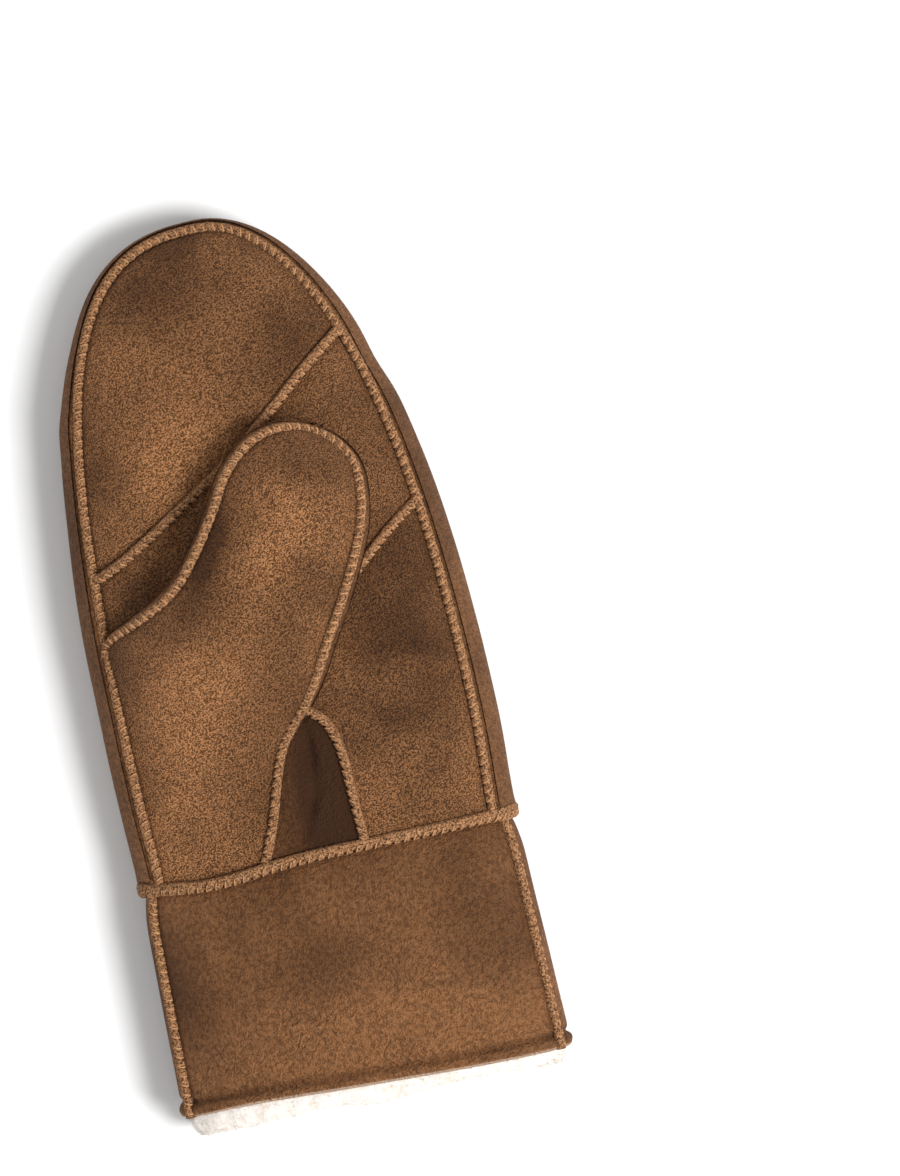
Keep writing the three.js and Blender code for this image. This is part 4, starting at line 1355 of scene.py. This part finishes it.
def node(tree, kind, inputs=None, **settings):
    """A node with its settings, each of its inputs fed by a value, a colour or a socket."""
    made = tree.nodes.new(kind)
    for name, value in settings.items():
        setattr(made, name, value)
    for place, value in (inputs or {}).items():
        feed(tree, made.inputs[place], value)
    return made


def place_of(tree):
    """A piece's own coordinates."""
    return node(tree, "ShaderNodeTexCoord").outputs["Object"]


def tone_of(tree):
    """The tone that the mesh carries, as its attribute brushed: mostly painted light and shade, with
    the pale cut edge of the mouth.
    """
    return node(tree, "ShaderNodeAttribute", attribute_name="brushed").outputs["Fac"]


def noise(tree, vector, scale, detail=3.0, roughness=0.5, distortion=0.0):
    """A noise texture at a scale in bumps to a metre."""
    return node(tree, "ShaderNodeTexNoise", {
        "Vector": vector, "Scale": scale, "Detail": detail, "Roughness": roughness,
        "Distortion": distortion,
    }).outputs["Fac"]


def math_of(tree, operation, *values, clamp=False):
    """A math node on values or sockets."""
    inputs = dict(enumerate(values))
    return node(tree, "ShaderNodeMath", inputs, operation=operation, use_clamp=clamp).outputs[0]


def ranged(tree, value, low, high, to_low=0.0, to_high=1.0, ends="SMOOTHSTEP"):
    """A value mapped from one range to another, with soft ends or as a straight line."""
    return node(tree, "ShaderNodeMapRange", {
        "Value": value, "From Min": low, "From Max": high, "To Min": to_low, "To Max": to_high,
    }, interpolation_type=ends).outputs["Result"]


def mixed(tree, factor, a, b):
    """A colour between two."""
    inputs = {"Factor": factor, MIX_FROM: a, MIX_TO: b}
    return node(tree, "ShaderNodeMix", inputs, data_type="RGBA").outputs[MIX_RESULT]


def turned_place(tree, angle, stretch):
    """Object coordinates drawn out along a direction in the plan."""
    turn = (0, 0, math.radians(angle))
    return node(tree, "ShaderNodeMapping", {
        "Vector": place_of(tree), "Rotation": turn, "Scale": (stretch, 1.0, 1.0),
    }, vector_type="TEXTURE").outputs["Vector"]


def shader_group(name, inputs, effect):
    """A shader node group with named values. The effect builds it and says what it puts out."""
    group = bpy.data.node_groups.new(name, "ShaderNodeTree")
    for label, default in inputs.items():
        socket = group.interface.new_socket(name=label, in_out="INPUT", socket_type="NodeSocketFloat")
        socket.default_value = default
    made = effect(group, node(group, "NodeGroupInput").outputs)
    for label in made:
        group.interface.new_socket(name=label, in_out="OUTPUT", socket_type="NodeSocketFloat")
    node(group, "NodeGroupOutput", made)
    return group


def nap(group, given):
    """Suede nap: a fine pile of leaning fibre ends, painted lighter on their raised tips and darker
    in the pits between, and broad patches brushed either way.
    """
    strokes = noise(group, turned_place(group, 28, 1.5), given["Fineness"], 2.0, 0.6, 0.2)
    grit = noise(group, place_of(group), NAP_GRIT, 1.0)
    patches = noise(group, place_of(group), given["Patches"], 2.5, 0.5, 0.3)
    height = math_of(group, "MULTIPLY_ADD", grit, 0.45, math_of(group, "MULTIPLY", strokes, 0.55))
    # The brushed tone is random patches plus the mesh's painted light and shade
    return {
        "Height": height,
        "Brushed And Painted Shading": patches_and_painted_shading(group, patches),
        "Nap Highlight And Shade": ranged(group, height, 0.455, 0.56),
    }


def patches_and_painted_shading(group, patches):
    """Random patches, at half strength, added to the tone that the mesh carries, which is mostly
    painted light and shade.
    """
    random = ranged(group, patches, 0.32, 0.68, 0.2, 0.7)
    return math_of(group, "ADD", random, tone_of(group), clamp=True)


def wrinkle(group, angle, stretch, scale, thin):
    """Thin wavy lines: where a stretched noise passes its middle value."""
    waves = noise(group, turned_place(group, angle, stretch), scale, 2.5, 0.5, 0.9)
    away = math_of(group, "ABSOLUTE", math_of(group, "SUBTRACT", waves, 0.5))
    return ranged(group, away, 0.0, thin, 1.0, 0.0)


def grain(group, given):
    """Smooth leather: a fine grain, and short wavy wrinkles that thicken towards the mouth."""
    place = place_of(group)
    along = node(group, "ShaderNodeSeparateXYZ", {"Vector": place}).outputs["Y"]
    low = ranged(group, along, given["Wrinkles From"], given["Wrinkles To"], 0.3, 1.0, "LINEAR")
    patchy = ranged(group, noise(group, place, WRINKLED_PATCHES, 2.0), 0.4, 0.62)
    lines = math_of(group, "MAXIMUM", wrinkle(group, -50, 2.0, LONG_WRINKLES, 0.08),
                    wrinkle(group, 40, 1.7, SHORT_WRINKLES, 0.13))
    lines = math_of(group, "MULTIPLY", lines, math_of(group, "MULTIPLY", patchy, low))
    fine = noise(group, place, LEATHER_GRAIN, 2.0, 0.6)
    mottle = noise(group, place, LEATHER_MOTTLE, 2.0, 0.5)
    height = math_of(group, "MULTIPLY_ADD", mottle, 0.7, fine)
    both = math_of(group, "MULTIPLY_ADD", mottle, 0.5, math_of(group, "MULTIPLY", fine, 0.5))
    # The wrinkle output darkens the colour in the wrinkles as painted shade. The mottle follows the
    # same noises as the height, so it paints the grain lighter where it stands high and darker where
    # it is low, over the leather's own mottle. The worn output is random worn patches plus the mesh's
    # tone, which is mostly painted light and shade.
    return {
        "Height": math_of(group, "MULTIPLY_ADD", lines, -0.6, height),
        "Wrinkle Shade": math_of(group, "MULTIPLY", lines, 0.2),
        "Mottle And Relief Shade": ranged(group, both, 0.38, 0.6, 0.25, 1.0),
        "Worn And Painted Shading": patches_and_painted_shading(group, noise(group, place, LEATHER_PATCHES, 3.0)),
    }


def bare_material(name, roughness, sheen=0.0, sheen_tint=(1, 1, 1), sheen_roughness=0.5):
    """A material with a bare shader, and its tree."""
    material = bpy.data.materials.new(name)
    material.use_nodes = True
    tree = material.node_tree
    shader = tree.nodes["Principled BSDF"]
    for label, value in {
        "Roughness": roughness, "Specular IOR Level": 0.25, "Sheen Weight": sheen,
        "Sheen Roughness": sheen_roughness, "Sheen Tint": sheen_tint,
    }.items():
        feed(tree, shader.inputs[label], value)
    return material, tree, shader


def dress(tree, shader, tone, height, distance, strength=1.0):
    """Feeds a colour to the shader, and a height through a bump to its normal."""
    inputs = {"Height": height, "Strength": strength, "Distance": distance}
    feed(tree, shader.inputs["Base Color"], tone)
    feed(tree, shader.inputs["Normal"], node(tree, "ShaderNodeBump", inputs).outputs["Normal"])


def suede_material(group):
    """Napped suede in three tones, with a soft sheen: painted highlight on the nap's raised ends,
    painted shade in its pits, and brushed patches with the mesh's painted light and shade.
    """
    c = colours()
    _, tree, shader = bare_material("Suede", 0.95, 0.1, c.suede_lit, 0.45)
    pile = node(tree, "ShaderNodeGroup", node_tree=group).outputs
    low = mixed(tree, pile["Brushed And Painted Shading"], c.suede_dark_and_shade, c.suede)
    high = mixed(tree, pile["Brushed And Painted Shading"], c.suede, c.suede_lit)
    # The speckle picks the colour by the nap's height: painted highlight where it stands high and
    # painted shade where it is low
    dress(tree, shader, mixed(tree, pile["Nap Highlight And Shade"], low, high), pile["Height"], SUEDE_RELIEF)


def leather_material(group):
    """Smooth leather: its mottle painted lighter where the grain stands high and darker where it is
    low, painted shade in its wrinkles and beside the gusset's fold, paler in worn patches, and
    pale at its cut edge.
    """
    c = colours()
    _, tree, shader = bare_material("Cuff Leather", 0.8, 0.03, c.suede_lit, 0.4)
    skin = node(tree, "ShaderNodeGroup", node_tree=group).outputs
    high = mixed(tree, skin["Worn And Painted Shading"], c.leather, c.leather_lit)
    low = mixed(tree, skin["Worn And Painted Shading"], c.leather_dark_and_shade, c.leather)
    tone = mixed(tree, skin["Mottle And Relief Shade"], low, high)
    # Painted shade in the wrinkles
    tone = mixed(tree, skin["Wrinkle Shade"], tone, c.leather_dark_and_shade)
    edge = tone_of(tree)
    # Painted shade where the mesh's tone is far below 0, as beside the gusset's fold
    tone = mixed(tree, ranged(tree, edge, -1.1, -0.3, 1.0, 0.0), tone, c.leather_dark_and_shade)
    tone = mixed(tree, ranged(tree, edge, 0.9, 1.4), tone, c.cut_edge)
    dress(tree, shader, tone, skin["Height"], LEATHER_RELIEF)


def seam_material(name, low, high, scale, distance):
    """Raw edge, thread or fibre: streaks between two colours and a rough relief."""
    _, tree, shader = bare_material(name, 0.9, 0.2, high, 0.4)
    streaks = noise(tree, place_of(tree), scale, 4.0, 0.7)
    tone = mixed(tree, ranged(tree, streaks, 0.4, 0.6), low, high)
    dress(tree, shader, tone, streaks, distance, 0.8)


def fleece_material(name, low, high):
    """Cream wool, darker between its clumps."""
    _, tree, shader = bare_material(name, 1.0, 0.35, (1, 0.97, 0.92), 0.5)
    place = place_of(tree)
    clumps = ranged(tree, noise(tree, place, WOOL_CLUMPS, 4.0, 0.65, 1.0), 0.3, 0.58)
    curls = noise(tree, place, WOOL_CURLS, 3.0, 0.7, 0.8)
    dress(tree, shader, mixed(tree, clumps, low, high), curls, WOOL_RELIEF, 0.8)


def material_named(name):
    """A material of the mitten, made on first use together with the others."""
    if "Suede" not in bpy.data.materials:
        c = colours()
        suede_material(shader_group("Suede Nap", {"Fineness": 2100.0, "Patches": 26.0}, nap))
        leather_material(shader_group(
            "Leather Grain", {"Wrinkles From": -0.085, "Wrinkles To": -0.12}, grain
        ))
        seam_material("Raw Edge", c.seam, c.seam_light, 1700, 0.4 * MM)
        seam_material("Thread", c.seam_light, c.thread, 3000, 0.1 * MM)
        seam_material("Seam Fibre", c.suede, c.seam_light, 900, 0.05 * MM)
        fleece_material("Fleece", c.fleece_shade, c.fleece)
        fleece_material("Fleece Fibre", c.fleece_shade, c.fleece)
    return bpy.data.materials[name]


# Stage

PHOTO_SIZE = (900, 1176)
METRES_TO_A_PIXEL = 0.31 * MM
VIEW_CENTRE = (0.0543, 0.0118)
VIEW_TURN = math.radians(-12)
VIEW_HEIGHT = 1.4
MITTEN_MIDDLE_HEIGHT = 0.025
SENSOR = 36.0
FLOOR_HALF = 4.0
KEY_LIGHT_PLACE = (1.05, -0.58, 1.75)
KEY_LIGHT_AIM = (0.0, 0.0, 0.02)
KEY_LIGHT_SIZE = 0.7
KEY_LIGHT_WATTS = 44
WORLD_STRENGTH = 0.6


def put_on_scene(name, data):
    """An object with the data, on the scene."""
    made = bpy.data.objects.new(name, data)
    bpy.context.scene.collection.objects.link(made)
    return made


def make_camera():
    """A camera straight above, turned as in the photograph, whose lens takes in its frame."""
    data = bpy.data.cameras.new("Camera")
    data.sensor_fit = "VERTICAL"
    data.sensor_height = SENSOR
    seen = PHOTO_SIZE[1] * METRES_TO_A_PIXEL
    data.lens = SENSOR * (VIEW_HEIGHT - MITTEN_MIDDLE_HEIGHT) / seen
    camera = put_on_scene("Camera", data)
    camera.location = (*VIEW_CENTRE, VIEW_HEIGHT)
    camera.rotation_euler = (0, 0, VIEW_TURN)
    bpy.context.scene.camera = camera


def make_light():
    """One square area light from the right and below in the picture, and an even white world."""
    data = bpy.data.lights.new("Key Light", "AREA")
    data.size = KEY_LIGHT_SIZE
    data.energy = KEY_LIGHT_WATTS
    light = put_on_scene("Key Light", data)
    light.location = KEY_LIGHT_PLACE
    direction = Vector(KEY_LIGHT_AIM) - Vector(KEY_LIGHT_PLACE)
    light.rotation_euler = direction.to_track_quat("-Z", "Y").to_euler()
    world = bpy.data.worlds.new("Studio")
    world.use_nodes = True
    background = world.node_tree.nodes["Background"]
    background.inputs["Color"].default_value = (1, 1, 1, 1)
    background.inputs["Strength"].default_value = WORLD_STRENGTH
    bpy.context.scene.world = world
    bpy.context.scene.view_settings.view_transform = "Standard"


def make_floor():
    """A plain pale floor."""
    corners = [(x * FLOOR_HALF, y * FLOOR_HALF, 0) for x, y in ((-1, -1), (1, -1), (1, 1), (-1, 1))]
    mesh = bpy.data.meshes.new("Floor")
    mesh.from_pydata(corners, [], [(0, 1, 2, 3)])
    material, tree, shader = bare_material("Floor", 0.9)
    feed(tree, shader.inputs["Base Color"], colours().floor)
    mesh.materials.append(material)
    put_on_scene("Floor", mesh)


class MITTEN_OT_palm_panels(bpy.types.Operator):
    """Sews in the finger, middle and heel panels and the gusset"""

    bl_idname = "mitten.palm_panels"
    bl_label = "Palm Panels"

    def execute(self, context):
        make_palm_panels()
        return {"FINISHED"}


class MITTEN_OT_thumb(bpy.types.Operator):
    """Makes the thumb's two panels"""

    bl_idname = "mitten.thumb"
    bl_label = "Thumb"

    def execute(self, context):
        make_thumb()
        return {"FINISHED"}


class MITTEN_OT_hand_walls(bpy.types.Operator):
    """Makes the side wall and the back panel"""

    bl_idname = "mitten.hand_walls"
    bl_label = "Side Wall and Back"

    def execute(self, context):
        make_hand_walls()
        return {"FINISHED"}


class MITTEN_OT_cuff(bpy.types.Operator):
    """Makes the cuff's two panels"""

    bl_idname = "mitten.cuff"
    bl_label = "Cuff"

    def execute(self, context):
        make_cuff()
        return {"FINISHED"}


class MITTEN_OT_seams(bpy.types.Operator):
    """Overcasts the seams"""

    bl_idname = "mitten.seams"
    bl_label = "Seams"

    def execute(self, context):
        make_seams()
        return {"FINISHED"}


class MITTEN_OT_fleece(bpy.types.Operator):
    """Lines the mitten with wool"""

    bl_idname = "mitten.fleece"
    bl_label = "Fleece Lining"

    def execute(self, context):
        make_fleece()
        return {"FINISHED"}


class MITTEN_OT_stage(bpy.types.Operator):
    """Sets the floor, the light and the camera"""

    bl_idname = "mitten.stage"
    bl_label = "Stage"

    def execute(self, context):
        make_floor()
        make_camera()
        make_light()
        return {"FINISHED"}


class MITTEN_PT_panel(bpy.types.Panel):
    """The mitten's sizes, colours and pieces"""

    bl_label = "Sheepskin Mitten"
    bl_idname = "MITTEN_PT_panel"
    bl_space_type = "VIEW_3D"
    bl_region_type = "UI"
    bl_category = "Mitten"

    def draw(self, context):
        for group in (context.scene.mitten_sizes, context.scene.mitten_colours):
            box = self.layout.box()
            for name in group.__annotations__:
                box.prop(group, name)
        for operator in OPERATORS:
            self.layout.operator(operator.bl_idname)


OPERATORS = (
    MITTEN_OT_stage,
    MITTEN_OT_palm_panels,
    MITTEN_OT_thumb,
    MITTEN_OT_hand_walls,
    MITTEN_OT_cuff,
    MITTEN_OT_seams,
    MITTEN_OT_fleece,
)
CLASSES = (MittenSizes, MittenColours, *OPERATORS, MITTEN_PT_panel)


def register():
    """Registers the classes and puts the sizes and colours on the scene."""
    for cls in CLASSES:
        bpy.utils.register_class(cls)
    bpy.types.Scene.mitten_sizes = PointerProperty(type=MittenSizes)
    bpy.types.Scene.mitten_colours = PointerProperty(type=MittenColours)


def unregister():
    """Takes back what register did."""
    del bpy.types.Scene.mitten_colours
    del bpy.types.Scene.mitten_sizes
    for cls in reversed(CLASSES):
        bpy.utils.unregister_class(cls)


def main():
    """Makes every piece."""
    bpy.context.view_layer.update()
    register()
    for operator in OPERATORS:
        family, name = operator.bl_idname.split(".")
        getattr(getattr(bpy.ops, family), name)()


if __name__ == "__main__":
    main()
